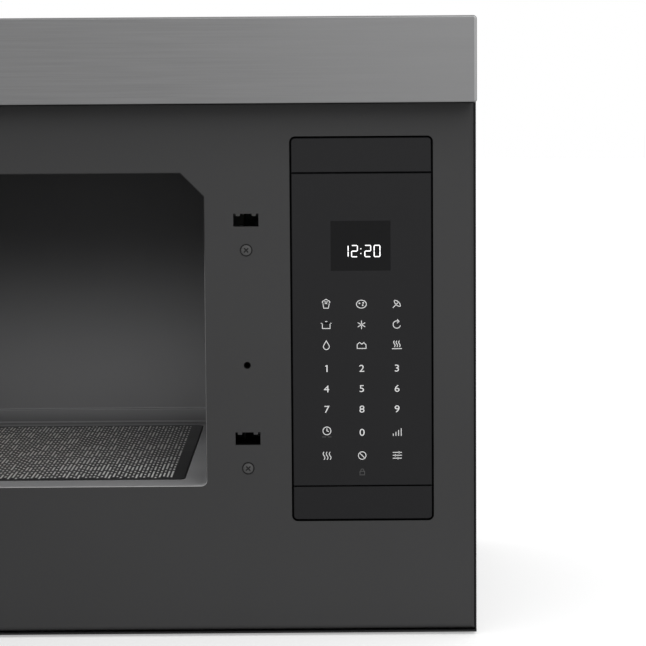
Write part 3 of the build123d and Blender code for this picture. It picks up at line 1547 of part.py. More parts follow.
key_back = frame_back + fit_gap
with BuildPart() as latch_key:
    with BuildSketch(door_plane.offset(key_back)):
        with Locations((latch_u, key_low)):
            Rectangle(key_width, key_high - key_low, align=upright)
    extrude(amount=key_thick)
    chamfer(latch_key.faces().sort_by(out_axis)[-1].edges(), key_edge)
    hook_end = hook_reach - door_back
    catch = hook_end - hook_tip_length
    for h in latch_heights:
        tip_low = h - slot_height / 2 + hook_low
        shank_low = tip_low + key_travel
        shank_high = shank_low + hook_thick
        with BuildSketch(door_side.offset(latch_u - hook_width / 2)):
            with BuildLine():
                Polyline(
                    (-key_back - key_thick / 2, shank_low),
                    (catch, shank_low),
                    (catch, tip_low),
                    (catch + hook_thick, tip_low),
                    (hook_end, shank_low + 1),
                    (hook_end, shank_high - 1),
                    (hook_end - 1, shank_high),
                    (-key_back - key_thick / 2, shank_high),
                    close=True,
                )
            make_face()
        extrude(amount=hook_width)
save(latch_key, "latch_key")

coil_foot = door_plan.from_local_coords((latch_u, -key_back - key_thick / 2, key_high + spring_wire))
with BuildPart() as latch_spring:
    with BuildLine(Plane(origin=coil_foot)) as coil:
        Helix(spring_pitch, spring_pitch * spring_turns, spring_radius)
    with BuildSketch(Plane(origin=coil.line @ 0, z_dir=coil.line % 0)):
        RegularPolygon(spring_wire, 6)
    sweep()
save(latch_spring, "latch_spring")

# ---------------------------------------------------------------- hinges
bush_ends = (ring_bottom, ring_top - bush_length)
with BuildPart() as hinge_bushes:
    for start in bush_ends:
        with BuildSketch(door_plan.offset(start)):
            Circle(bush_radius)
            Circle(pin_radius + running_gap, mode=Mode.SUBTRACT)
        extrude(amount=bush_length)
save(hinge_bushes, "hinge_bushes")

# Each end: name, door's end, the bush's outer end and the way from the door to the bracket
hinge_ends = (("upper_hinge", door_high, ring_top, 1), ("lower_hinge", door_low, ring_bottom, -1))
with BuildPart() as hinge_pins:
    for name, edge, bush_end, sense in hinge_ends:
        outside = edge + sense * (bracket_gap + bracket_thick)
        with BuildSketch(door_plan.offset(outside)):
            Circle(pin_radius)
        extrude(amount=-sense * pin_length)
        with BuildSketch(door_plan.offset(bush_end)):
            Circle(pin_hole_radius - fit_gap)
        extrude(amount=sense * (abs(edge - bush_end) + bracket_gap))
save(hinge_pins, "hinge_pins")

for name, edge, bush_end, sense in hinge_ends:
    inside = edge + sense * bracket_gap
    with BuildPart() as hinge_bracket:
        with BuildSketch(level(inside)):
            with Locations((hinge_x, hinge_y)):
                Circle(bracket_eye)
                Rectangle(2 * bracket_eye, hinge_stand_off, align=upright)
                Rectangle(
                    bracket_clear + bracket_length, hinge_stand_off, align=(Align.MIN, Align.MIN)
                )
                Circle(pin_radius, mode=Mode.SUBTRACT)
        extrude(amount=sense * bracket_thick)
        with BuildSketch(front_face):
            with Locations((hinge_x + bracket_clear, inside)):
                Rectangle(
                    bracket_length,
                    bracket_drop,
                    align=(Align.MIN, Align.MAX if sense > 0 else Align.MIN),
                )
        extrude(amount=bracket_flange)
        with BuildSketch(front_face.offset(bracket_flange)):
            with Locations([(x, edge + sense * flange_middle) for x in flange_xs]):
                Circle(flush_radius)
        extrude(amount=-bracket_flange, taper=flush_taper, mode=Mode.SUBTRACT)
    save(hinge_bracket, name)

with BuildPart() as hinge_screws:
    flush_places = [(x, h) for x in flange_xs for h in flange_heights]
    with BuildSketch(front_face.offset(bracket_flange)):
        with Locations(flush_places):
            Circle(flush_radius)
    extrude(amount=-bracket_flange, taper=flush_taper)
    with BuildSketch(front_face):
        with Locations(flush_places):
            Circle(screw_shank_radius)
    extrude(amount=-screw_length)
save(hinge_screws, "hinge_screws")
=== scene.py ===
"""Looks of the over-the-range microwave: finishes, printed marks, screws, meshes and the studio.

Metres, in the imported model's frame: +X to the right, +Y to the wall, +Z up.
"""

import json
from math import cos, pi, radians, sin, tau

import bmesh
import bpy
from bpy.props import FloatProperty, FloatVectorProperty, IntProperty, PointerProperty
from mathutils import Euler, Matrix, Vector


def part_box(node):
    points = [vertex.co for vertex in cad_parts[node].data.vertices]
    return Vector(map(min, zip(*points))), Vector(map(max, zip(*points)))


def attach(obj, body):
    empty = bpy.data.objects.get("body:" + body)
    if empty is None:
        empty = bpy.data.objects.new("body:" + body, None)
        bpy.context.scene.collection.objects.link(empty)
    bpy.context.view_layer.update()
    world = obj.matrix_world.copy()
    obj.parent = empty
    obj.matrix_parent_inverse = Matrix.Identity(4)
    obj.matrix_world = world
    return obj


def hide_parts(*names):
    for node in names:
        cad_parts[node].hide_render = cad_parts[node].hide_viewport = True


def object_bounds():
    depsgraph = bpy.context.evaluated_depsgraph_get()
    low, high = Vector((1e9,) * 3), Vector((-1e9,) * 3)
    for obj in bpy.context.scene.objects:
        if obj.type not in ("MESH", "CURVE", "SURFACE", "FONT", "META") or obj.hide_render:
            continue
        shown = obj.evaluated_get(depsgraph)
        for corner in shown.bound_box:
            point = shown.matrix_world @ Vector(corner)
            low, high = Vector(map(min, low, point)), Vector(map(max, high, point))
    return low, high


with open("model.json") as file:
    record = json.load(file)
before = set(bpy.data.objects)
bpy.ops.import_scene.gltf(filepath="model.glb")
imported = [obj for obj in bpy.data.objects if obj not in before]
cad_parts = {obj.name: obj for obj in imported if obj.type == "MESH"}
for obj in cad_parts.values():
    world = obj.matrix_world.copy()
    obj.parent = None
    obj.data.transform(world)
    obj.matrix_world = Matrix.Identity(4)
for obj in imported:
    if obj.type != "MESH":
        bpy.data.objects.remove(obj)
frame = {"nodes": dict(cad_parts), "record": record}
cad_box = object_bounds()

bl_info = {
    "name": "Over-the-range microwave looks",
    "version": (1, 0, 0),
    "blender": (4, 5, 0),
    "location": "3D View > Sidebar > Oven",
    "description": "Dresses the packed microwave with finishes, marks, screws and a studio",
    "category": "Object",
}

MM = 0.001
SLOT_OF = {part["node"]: part["material_slot"] for part in frame["record"]["subparts"]}
COLOUR_OF = {m["slot"]: tuple(m["base_color"][:3]) for m in frame["record"]["materials"]}


def grey(level):
    """A neutral colour."""
    return (level,) * 3


def times(colour, factor):
    """A colour, some times as light."""
    return [c * factor for c in colour]


# ---------------------------------------------------------------- node trees
def joined(operation):
    """Two methods that join two values in a Math node, in order and turned about."""
    return (lambda self, other: self.maths(operation, self, other),
            lambda self, other: self.maths(operation, other, self))


class Value:
    """A socket of a node tree. An expression on number values adds its Math nodes."""

    def __init__(self, tree, socket):
        self.tree = tree
        self.socket = socket

    def maths(self, operation, first, second=0.0):
        return self.tree.value("ShaderNodeMath", {0: first, 1: second}, operation=operation)

    __add__, __radd__ = joined("ADD")
    __sub__, __rsub__ = joined("SUBTRACT")
    __mul__, __rmul__ = joined("MULTIPLY")
    __truediv__ = joined("DIVIDE")[0]
    __mod__ = joined("FLOORED_MODULO")[0]
    __gt__ = joined("GREATER_THAN")[0]
    __lt__ = joined("LESS_THAN")[0]
    highest = joined("MAXIMUM")[0]

    def __abs__(self):
        return self.maths("ABSOLUTE", self)

    def floor(self):
        return self.maths("FLOOR", self)


class Tree:
    """A node tree under construction."""

    def __init__(self, tree):
        self.nodes = tree.nodes
        self.links = tree.links

    def node(self, kind, inputs=None, **settings):
        """Adds a node: its settings first, then the values or links of its sockets."""
        made = self.nodes.new(kind)
        for name, value in settings.items():
            setattr(made, name, value)
        for place, value in (inputs or {}).items():
            socket = made.inputs[place]
            if isinstance(value, Value):
                self.links.new(value.socket, socket)
            else:
                socket.default_value = value
        return made

    def value(self, kind, inputs=None, output=0, **settings):
        """The same, and gives one of the node's outputs as a value."""
        return Value(self, self.node(kind, inputs, **settings).outputs[output])

    def vector_maths(self, operation, inputs):
        return self.value("ShaderNodeVectorMath", inputs, operation=operation)


class Finish(Tree):
    """A material on Object coordinates."""

    def __init__(self, name):
        self.material = bpy.data.materials.new(name)
        self.material.use_nodes = True
        self.material.node_tree.nodes.clear()
        super().__init__(self.material.node_tree)
        self.place = self.value("ShaderNodeTexCoord", output="Object")

    def along(self, axis):
        """The coordinate along one axis, 0 to 2, in metres."""
        return self.value("ShaderNodeSeparateXYZ", {0: self.place}, axis)

    def scaled(self, size):
        """Object coordinates in units of size: one number, or one for each axis."""
        sizes = size if isinstance(size, list) else [size] * 3
        return self.value("ShaderNodeMapping", {
            "Vector": self.place, "Scale": [1 / s for s in sizes]}, vector_type="POINT")

    def noise(self, size, detail=2.0, roughness=0.5):
        """Noise whose features are about size across, from 0 to 1."""
        return self.value("ShaderNodeTexNoise", {
            "Vector": self.scaled(size), "Scale": 1.0, "Detail": detail, "Roughness": roughness})

    def cells(self, size, feature="F1", output=0):
        """Voronoi cells about size across: the distance, or with output 1 a random shade."""
        return self.value("ShaderNodeTexVoronoi", {"Vector": self.scaled(size), "Scale": 1.0},
                          output, feature=feature)

    def rise(self, value, low, high):
        """Goes smoothly from 0 to 1 while value goes from low to high."""
        return self.value("ShaderNodeMapRange", {0: value, 1: low, 2: high},
                          interpolation_type="SMOOTHSTEP")

    def inside(self, box, axes, margin=0.0):
        """1 inside a box that is a margin larger, seen along the axes, 0 outside."""
        found = 1.0
        for axis in axes:
            edge = self.along(axis)
            found = found * (edge > box[0][axis] - margin) * (edge < box[1][axis] + margin)
        return found

    def between(self, first, second, mask):
        """A colour that goes from first to second as mask goes from 0 to 1."""
        ends = [c if isinstance(c, Value) else (*c, 1.0) for c in (first, second)]
        return self.value("ShaderNodeMix", {0: mask, 6: ends[0], 7: ends[1]}, 2,
                          data_type="RGBA", clamp_factor=True)

    def shaded(self, colour, swing, mask):
        """The colour, from 1 - swing to 1 + swing times as light."""
        return self.between(times(colour, 1 - swing), times(colour, 1 + swing), mask)

    def scale(self, colour, factor):
        """A colour times a varying factor."""
        return self.vector_maths("SCALE", {0: colour, "Scale": factor})

    def bump(self, height, depth):
        """A normal from a height of 0 to 1 that stands for depth, in metres."""
        return self.value("ShaderNodeBump", {
            "Strength": 1.0, "Distance": depth, "Height": height})

    def surface(self, colour, roughness, metallic=0.0, specular=0.5, **others):
        """Ends the material in a principled surface. An underscore stands for a space."""
        skin = self.value("ShaderNodeBsdfPrincipled", {
            "Base Color": colour, "Roughness": roughness, "Metallic": metallic,
            "Specular IOR Level": specular,
            **{name.replace("_", " "): value for name, value in others.items()}})
        self.node("ShaderNodeOutputMaterial", {"Surface": skin})
        return self.material


class Growth(Tree):
    """A Geometry Nodes tree with named inputs, which ends in realized, painted geometry."""

    KINDS = {float: "NodeSocketFloat", int: "NodeSocketInt", tuple: "NodeSocketVector",
             bpy.types.Object: "NodeSocketObject", bpy.types.Material: "NodeSocketMaterial"}

    def __init__(self, name, **values):
        self.group = bpy.data.node_groups.new(name, "GeometryNodeTree")
        super().__init__(self.group)
        self.values = values
        self.identifiers = {}
        face = self.group.interface
        for way in ("INPUT", "OUTPUT"):
            face.new_socket("Geometry", in_out=way, socket_type="NodeSocketGeometry")
        for key, value in values.items():
            socket = face.new_socket(key, in_out="INPUT", socket_type=self.KINDS[type(value)])
            self.identifiers[key] = socket.identifier
        self.entry = self.node("NodeGroupInput")

    def __getitem__(self, name):
        """A named input of the tree."""
        return Value(self, self.entry.outputs[name])

    def vector(self, x=0.0, y=0.0, z=0.0):
        return self.value("ShaderNodeCombineXYZ", {0: x, 1: y, 2: z})

    def random(self, number):
        """A random value from 0 to 1 for each number, by the input Seed."""
        return self.value("FunctionNodeRandomValue", {"ID": number, "Seed": self["Seed"]}, 1,
                          data_type="FLOAT")

    def grow(self, name, geometry, ground=None):
        """Runs the tree on a mesh and gives the result as a plain mesh."""
        real = self.value("GeometryNodeRealizeInstances", {0: geometry})
        painted = self.value("GeometryNodeSetMaterial", {
            "Geometry": real, "Material": self["Material"]})
        self.node("NodeGroupOutput", {0: painted})
        seed = bpy.data.objects.new(name + "_seed", ground or bpy.data.meshes.new(name + "_seed"))
        bpy.context.scene.collection.objects.link(seed)
        modifier = seed.modifiers.new(name, "NODES")
        modifier.node_group = self.group
        for key, identifier in self.identifiers.items():
            modifier[identifier] = self.values[key]
        mesh = evaluated_mesh(seed)
        bpy.data.objects.remove(seed)
        mesh.name = name
        return mesh


# ---------------------------------------------------------------- meshes
def evaluated_mesh(item):
    """The mesh that an object's modifiers give."""
    view = bpy.context.evaluated_depsgraph_get()
    return bpy.data.meshes.new_from_object(item.evaluated_get(view), depsgraph=view)


def middle(node):
    """The centre of a node's box."""
    low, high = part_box(node)
    return (low + high) / 2


def extent(points):
    """The low and the high corner of the box round some points."""
    return [Vector([pick(p[i] for p in points) for i in range(3)]) for pick in (min, max)]


def islands(node):
    """The box of each separate solid in a node, as pairs of corners."""
    mesh = bmesh.new()
    mesh.from_mesh(frame["nodes"][node].data)
    bmesh.ops.remove_doubles(mesh, verts=mesh.verts, dist=1e-6)
    found = []
    left = set(mesh.verts)
    while left:
        group = {left.pop()}
        rim = set(group)
        while rim:
            rim = {e.other_vert(v) for v in rim for e in v.link_edges} - group
            group |= rim
            left -= rim
        found.append(extent([v.co for v in group]))
    mesh.free()
    return sorted(found, key=lambda pair: tuple(round(c, 4) for c in pair[0]))


def as_mesh(name, shape):
    """Ends a bmesh: merges its doubles, turns its faces outwards and writes it to a mesh."""
    bmesh.ops.remove_doubles(shape, verts=shape.verts, dist=1e-7)
    bmesh.ops.recalc_face_normals(shape, faces=shape.faces)
    mesh = bpy.data.meshes.new(name)
    shape.to_mesh(mesh)
    shape.free()
    return mesh


def add_object(name, data):
    """Puts a new object into the scene."""
    item = bpy.data.objects.new(name, data)
    bpy.context.scene.collection.objects.link(item)
    return item


def add_piece(name, mesh, material, body, replaces=(), smooth=None):
    """Makes a finished piece of a mesh, which rides on a body and takes a material."""
    piece = add_object(name, mesh)
    mesh.materials.clear()
    mesh.materials.append(material)
    if smooth:
        mesh.shade_smooth()
        mesh.set_sharp_from_angle(angle=radians(smooth))
    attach(piece, body)
    if replaces:
        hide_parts(*replaces)


def prism(shape, outline, place, thick):
    """Adds a closed flat polygon, thick along the placed Z, to a bmesh."""
    rings = [[shape.verts.new(place @ Vector((x, y, z))) for x, y in outline]
             for z in (0, thick)]
    shape.faces.new(rings[0][::-1])
    shape.faces.new(rings[1])
    for i in range(len(outline)):
        j = (i + 1) % len(outline)
        shape.faces.new((rings[0][i], rings[0][j], rings[1][j], rings[1][i]))


def stroke(shape, points, width, place, thick, closed=False):
    """Adds a line of even width through the points, thick along the placed Z, to a bmesh."""
    flat = [Vector(p) for p in points]
    count = len(flat)
    sides = []
    for i, here in enumerate(flat):
        before = flat[i - 1] if closed or i else here
        after = flat[(i + 1) % count] if closed or i + 1 < count else here
        into = (here - before if here != before else after - here).normalized()
        out = (after - here if after != here else here - before).normalized()
        normal = Vector((-(into + out).y, (into + out).x)).normalized()
        mitre = width / 2 / max(normal.dot(Vector((-into.y, into.x))), 0.4)
        sides.append((here + normal * mitre, here - normal * mitre))
    rings = [[shape.verts.new(place @ Vector((*side, z))) for side, z in
              ((a, 0), (b, 0), (b, thick), (a, thick))] for a, b in sides]
    for i in range(count if closed else count - 1):
        one, two = rings[i], rings[(i + 1) % count]
        for k in range(4):
            m = (k + 1) % 4
            shape.faces.new((one[k], one[m], two[m], two[k]))
    if not closed:
        shape.faces.new(rings[0])
        shape.faces.new(rings[-1][::-1])


def arc(x, y, radius, start=0.0, turn=360.0, steps=20):
    """Points on a circle's arc, angles in degrees. A full turn leaves its last point out."""
    count = steps if turn >= 360 else steps + 1
    return [(x + radius * cos(radians(start + turn * i / steps)),
             y + radius * sin(radians(start + turn * i / steps))) for i in range(count)]


def wave(x, low, high, swing, steps=10):
    """Points on an upright wavy line."""
    return [(x + swing * sin(tau * i / steps), low + (high - low) * i / steps)
            for i in range(steps + 1)]


# ---------------------------------------------------------------- finishes
# Black for painted shade
SHADE = grey(0.001)
HAIRLINE = 0.004 * MM
ORANGE_PEEL = 0.012 * MM


def powder_coat(name, colour, roughness):
    """Baked paint with a fine, soft orange peel."""
    f = Finish(name)
    peel = f.noise(0.9 * MM)
    cloud = f.noise(90 * MM, 3.0)
    return f.surface(
        f.shaded(colour, 0.06, cloud), roughness + 0.08 * (peel - 0.5) + 0.06 * (cloud - 0.5),
        specular=0.35, Normal=f.bump(peel, ORANGE_PEEL))


def brushed_steel(name, colour, axis, roughness=0.32, swing=0.12):
    """Metal brushed along one axis, with hairlines and broader bands."""
    f = Finish(name)
    hair, run = 0.16 * MM, 70 * MM
    fine = [hair] * 3
    broad = [hair * 14] * 3
    fine[axis], broad[axis] = run, run * 6
    lines = f.noise(fine, 3.0, 0.6)
    bands = f.noise(broad)
    return f.surface(
        f.shaded(colour, swing, 0.7 * lines + 0.3 * bands),
        roughness + 0.22 * (lines - 0.5) + 0.06 * (bands - 0.5), 1.0,
        Normal=f.bump(lines, HAIRLINE))


def trim_steel(name, colour, box):
    """Steel brushed from side to side, with painted highlights on its rounded edges, painted light
    that grows towards its right end and a painted shade along its lower edge.
    """
    f = Finish(name)
    lines = f.noise([70 * MM, 0.5 * MM, 0.5 * MM], 3.0, 0.6)
    streaks = f.noise([80 * MM, 1.3 * MM, 1.3 * MM])
    low, high = box
    front_roll, side_roll = 0.5 * MM, 2.2 * MM
    # Painted highlight on the rounded front edge and the right end's roll
    rounded = (f.along(1) > low.y + front_roll).highest(f.along(0) > high.x - side_roll)
    # Painted shade: the lowest millimetre of the strip goes almost black
    under = f.rise(f.along(2), low.z + 0.95 * MM, low.z + 0.75 * MM)
    # Painted light that grows towards the strip's right end
    right = f.rise(f.along(0), low.x + 0.6 * (high.x - low.x), high.x)
    steel = f.shaded(times(colour, 1.06), 0.22, 0.4 * lines + 0.6 * streaks)
    lit = f.between(steel, times(colour, 1.25), right * 0.7)
    edge_highlighted = f.between(lit, times(colour, 1.9), rounded)
    return f.surface(
        f.between(edge_highlighted, times(colour, 0.05), under),
        0.36 + 0.2 * (lines - 0.5) + 0.08 * (streaks - 0.5), 1.0,
        Normal=f.bump(lines, HAIRLINE))


def oven_lining(name, colour, opening, ledge):
    """Brushed liner with painted shade that deepens towards the ceiling, painted light on its floor
    that varies with the distance from the ledge, and at its back a ledge with painted shade on its
    front and a painted highlight along its top edge.

    ledge gives the depth of the ledge's front and the height of its top.
    """
    f = Finish(name)
    lines = f.noise([0.5 * MM, 0.5 * MM, 60 * MM], 3.0, 0.6)
    cloud = f.noise(70 * MM)
    depth, up = f.along(1), f.along(2)
    floor, ceiling = opening[0].z, opening[1].z
    reach, top = ledge
    skin = 1.5 * MM
    # Painted shade: the walls darken from the floor towards the ceiling
    ceiling_shade = f.rise(up, floor, floor + 0.78 * (ceiling - floor))
    wall = f.between(times(colour, 0.58), times(colour, 0.1), ceiling_shade)
    at_ledge = depth > reach - skin
    # Painted shade on the ledge's front, darker towards the floor
    ledge_shade = f.between(times(colour, 0.38), times(colour, 0.6), f.rise(up, floor, top))
    # Painted highlight along the ledge's top edge
    crest_highlight = at_ledge * (abs(up - top) < 0.7 * MM)
    back = f.between(f.between(wall, ledge_shade, at_ledge * (up < top)), times(colour, 0.8), crest_highlight)
    ground = up < floor + skin
    # Painted light on the floor, from the ledge forward: how much it gains, from where to where
    near = 0.7
    for gain, start, end in ((1.3, 0, 28), (0.95, 50, 160), (-0.75, 240, 310)):
        near = near + gain * f.rise(depth, reach - start * MM, reach - end * MM)
    steel = f.between(back, f.scale(tuple(colour), near), ground)
    grain = 0.93 + 0.14 * (0.6 * lines + 0.4 * cloud)
    return f.surface(f.scale(steel, grain), 0.42 + 0.16 * (lines - 0.5), 1 - 0.5 * ground,
                     Normal=f.bump(lines, HAIRLINE))


def front_sheet(name, colour, highlight_colour, box, opening, cut_out, dimples):
    """Satin paint, a little darker under the strip and at the right edge in painted shade, and
    lighter towards the bottom in painted light.

    The rolled lip round the oven carries a painted highlight. The screw dimples and the edge of the
    control panel's cut-out are in painted shade.
    """
    f = Finish(name)
    peel = f.noise(0.9 * MM)
    cloud = f.noise(90 * MM, 3.0)
    depth, up = f.along(1), f.along(2)
    floor, ceiling = opening[0].z, opening[1].z
    lip_width, cut_margin, dimple = 1.3 * MM, 3 * MM, 5.6 * MM
    tall = ceiling - floor
    # Painted highlight on the lip: none near the top, stronger lower down, strongest at the floor
    highlight_share = 0.42 * f.rise(up, ceiling - 0.2 * tall, ceiling - 0.36 * tall)
    highlight_share = highlight_share + 0.58 * f.rise(up, floor + 7 * MM, floor + 2 * MM)
    lip = f.inside(opening, (0, 2), lip_width) * (depth > box[0].y + 0.1 * MM) * highlight_share
    # Painted shade, black, in the screw dimples and round the control panel's cut-out
    shade = f.inside(cut_out, (0, 2), cut_margin)
    for x, z in dimples:
        across = f.along(0) - x
        rise = up - z
        shade = shade + (across * across + rise * rise < dimple ** 2)
    shade = shade * (depth > box[0].y + 0.15 * MM)
    # Painted light and shade: how much lighter or darker it gets, along what and from where to
    # where
    base, strip, side = box[0].z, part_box("trim_strip")[0].z, box[1].x
    painted_shading = 0.99
    for gain, way, start, end in ((0.17, up, base + 150 * MM, base),
                                  (-0.1, up, base + 250 * MM, strip),
                                  (-0.17, up, strip - 60 * MM, strip - 5 * MM),
                                  (-0.16, f.along(0), side - 5 * MM, side - 2 * MM)):
        painted_shading = painted_shading + gain * f.rise(way, start, end)
    paint = f.scale(f.shaded(colour, 0.05, cloud), painted_shading)
    return f.surface(
        f.between(f.between(paint, highlight_colour, lip), SHADE, shade),
        0.5 + 0.08 * (peel - 0.5) + 0.06 * (cloud - 0.5), specular=0.35,
        Normal=f.bump(peel, ORANGE_PEEL))


def screw_paint(name, colour, heads):
    """Dark coating, with black painted shade at the bottom of the cross recess of each head in a
    pair of corners.
    """
    f = Finish(name)
    wear = f.noise(1.5 * MM)
    recess = 0.0
    for low, high in heads:
        across = f.along(0) - (low.x + high.x) / 2
        up = f.along(2) - (low.z + high.z) / 2
        reach = 0.33 * (high.x - low.x)
        cross = across * across + up * up < reach ** 2
        # Painted shade at the bottom of the cross recess
        recess = recess + cross * (f.along(1) > low.y + 0.3 * MM)
    return f.surface(f.between(f.shaded(colour, 0.12, wear), grey(0.002), recess),
                     0.5 + 0.1 * wear, specular=0.35)


def zinc_sheet(name, colour):
    """Zinc-coated sheet with its faint spangle."""
    f = Finish(name)
    spangle = f.cells(7 * MM, output=1)
    smudge = f.noise(60 * MM, 4.0)
    return f.surface(
        f.shaded(colour, 0.14, 0.6 * spangle + 0.4 * smudge),
        0.42 + 0.12 * (spangle - 0.5) + 0.15 * (smudge - 0.5), 1.0,
        Normal=f.bump(smudge, 0.02 * MM))


def moulding(name, colour, roughness=0.55, grain=0.45 * MM, specular=0.4):
    """Moulded plastic with a spark-eroded grain."""
    f = Finish(name)
    pits = f.noise(grain, 3.0, 0.6)
    flow = f.noise(40 * MM)
    return f.surface(
        f.shaded(colour, 0.07, 0.5 * pits + 0.5 * flow), roughness + 0.12 * (pits - 0.5),
        specular=specular, Normal=f.bump(pits, 0.02 * MM))


def window_glass(name, colour, clear, print_colour, window, border):
    """Glass on the YZ plane that is see-through inside a printed dark border."""
    f = Finish(name)
    inside = f.inside(window, (1, 2), -border)
    smear = f.noise(50 * MM, 3.0)
    return f.surface(f.between(print_colour, colour, inside), 0.05 + 0.06 * smear,
                     Alpha=1 - (1 - clear) * inside)


def perforated_sheet(name, colour):
    """Painted screen with round holes in staggered rows, on the YZ plane."""
    f = Finish(name)
    pitch, hole = 2.1 * MM, 0.62 * MM
    row_pitch = pitch * 0.866
    row = f.along(2) / row_pitch
    across = f.along(1) / pitch + 0.5 * (row.floor() % 2.0)
    x = (across % 1.0 - 0.5) * pitch
    y = (row % 1.0 - 0.5) * row_pitch
    solid = x * x + y * y > hole * hole
    grime = f.noise(12 * MM)
    return f.surface(f.shaded(colour, 0.1, grime), 0.5 + 0.1 * grime, specular=0.3, Alpha=solid)


def ceramic(name, colour):
    """Dark glass ceramic with very fine pale specks."""
    f = Finish(name)
    specks = f.cells(1.4 * MM) < 0.16
    depth = f.noise(35 * MM, 3.0)
    return f.surface(f.between(f.shaded(colour, 0.1, depth), grey(0.07), specks * 0.5),
                     0.34 + 0.08 * depth, specular=0.35)


def touch_glass(name, colour, window_colour, window, edge):
    """Smooth dark glass, darker over the display behind it, with black painted shade on its faces
    behind its edge's depth.
    """
    f = Finish(name)
    inside = f.inside(window, (0, 2))
    haze = f.noise(55 * MM, 3.0)
    glass = f.between(f.shaded(colour, 0.05, haze), window_colour, inside)
    # Painted shade: the faces behind the edge's depth, seen in the gap round the panel, go black
    return f.surface(f.between(glass, SHADE, f.along(1) > edge),
                     0.28 + 0.06 * haze - 0.12 * inside, specular=0.185)


def printing(name, colour, glow=0.0):
    """Printed or lit marks, faintly uneven."""
    f = Finish(name)
    ink = f.noise(0.5 * MM)
    return f.surface(
        f.shaded(colour, 0.05, ink), 0.5 + 0.1 * ink, specular=0.2, Emission_Strength=glow,
        Emission_Color=f.shaded(colour, 0.03, ink))


def knitted_aluminium(name, colour):
    """Bright expanded aluminium with a dull film in its hollows."""
    f = Finish(name)
    film = f.noise(6 * MM, 3.0)
    return f.surface(f.shaded(colour, 0.2, film), 0.3 + 0.2 * film, 1.0)


def granules(name, colour):
    """Charcoal grains behind a thin sleeve."""
    f = Finish(name)
    grain = f.cells(2.2 * MM)
    return f.surface(f.shaded(colour, 0.6, grain), 0.75, Normal=f.bump(grain, 0.6 * MM))


def cast_steel(name, colour, roughness=0.5):
    """Drawn or cast motor and core steel with machining rings."""
    f = Finish(name)
    rings = f.noise([20 * MM, 20 * MM, 0.5 * MM])
    stain = f.noise(25 * MM, 4.0)
    return f.surface(
        f.shaded(colour, 0.18, 0.5 * rings + 0.5 * stain), roughness + 0.12 * (rings - 0.5), 0.8,
        Normal=f.bump(rings, 0.05 * MM))


def circuit_board(name, colour):
    """Solder mask over fine copper tracks."""
    f = Finish(name)
    tracks = f.cells([6 * MM, 6 * MM, 2.5 * MM], "DISTANCE_TO_EDGE") < 0.08
    return f.surface(f.between(colour, times(colour, 1.6), tracks), 0.35 + 0.1 * tracks,
                     Normal=f.bump(tracks, 0.05 * MM))


def frosted(name, colour):
    """Prismatic frosted plastic."""
    f = Finish(name)
    prisms = f.cells(3 * MM)
    return f.surface(f.shaded(colour, 0.05, prisms), 0.4, Normal=f.bump(prisms, 0.4 * MM))


# Slots that keep the record's colour: the finish, the material's name, and what else it takes
PLAIN_SLOTS = {
    "galvanised": (zinc_sheet, "zinc_sheet"),
    "white_plastic": (moulding, "white_plastic"),
    "board_green": (circuit_board, "circuit_board"),
    "frosted": (frosted, "lens_frosted"),
    "filter_mesh": (knitted_aluminium, "filter_aluminium"),
    "charcoal": (granules, "charcoal_grains"),
    "cast_motor": (cast_steel, "motor_steel"),
    "iron_core": (cast_steel, "iron_core", 0.6),
    "fin_aluminium": (brushed_steel, "fin_aluminium", 1),
    "spring_steel": (brushed_steel, "spring_steel", 2, 0.3, 0.08),
    "screw_zinc": (zinc_sheet, "screw_zinc"),
    "rubber_black": (moulding, "rubber_black", 0.75, 0.6 * MM),
}


def slot_finishes(colours):
    """One material for each slot of the record."""
    border = 8 * MM
    liner_low, liner_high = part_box("cavity_liner")
    oven_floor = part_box("floor_plate")[1].z - 0.5 * MM
    opening = (Vector((liner_low.x + border, 0, oven_floor)),
               Vector((liner_high.x - border, 0, liner_high.z - border)))
    ledge = (liner_high.y - 6.2 * MM, oven_floor + 13 * MM)
    panel_box = extent([corner for node in ("panel_cap_top", "panel_cap_bottom", "touch_glass")
                        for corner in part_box(node)])
    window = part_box("display_module")
    glass_edge = panel_box[0].y + 0.7 * MM
    heads = islands("latch_screws")
    dimples = [((a.x + b.x) / 2, (a.z + b.z) / 2) for a, b in heads]
    return {
        "black_case": powder_coat("case_black", (0.014, 0.014, 0.015), 0.45),
        "frame_paint": front_sheet("front_paint", colours.front_paint, colours.worn_lip,
                                   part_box("front_frame"), opening, panel_box, dimples),
        "strip_steel": brushed_steel("door_brushed", colours.strip_steel, 2, 0.34),
        "oven_steel": oven_lining("oven_brushed", colours.oven_steel, opening, ledge),
        "floor_ceramic": ceramic("floor_ceramic", colours.floor_plate),
        "dark_plastic": moulding("dark_plastic", (0.008, 0.008, 0.0085)),
        "panel_gloss": touch_glass("panel_cap", colours.panel, colours.panel, window, glass_edge),
        "touch_face": touch_glass("touch_glass", colours.panel, colours.display, window,
                                  glass_edge),
        "display_face": powder_coat("display_dark", colours.display, 0.3),
        "clear_glass": window_glass("door_glass", (0.02, 0.02, 0.022), 0.35,
                                    (0.006, 0.006, 0.007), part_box("inner_window"), border),
        "screw_black": screw_paint("screw_black", grey(0.062), heads),
    } | {slot: finish(name, COLOUR_OF[slot], *more)
         for slot, (finish, name, *more) in PLAIN_SLOTS.items()}


# ---------------------------------------------------------------- settings
def millimetres(name, size, text):
    """A setting for a length."""
    return FloatProperty(name=name, default=size * MM, unit="LENGTH", description=text)


def tint(name, colour, text):
    """A setting for a linear colour."""
    return FloatVectorProperty(name=name, default=colour, subtype="COLOR", description=text)


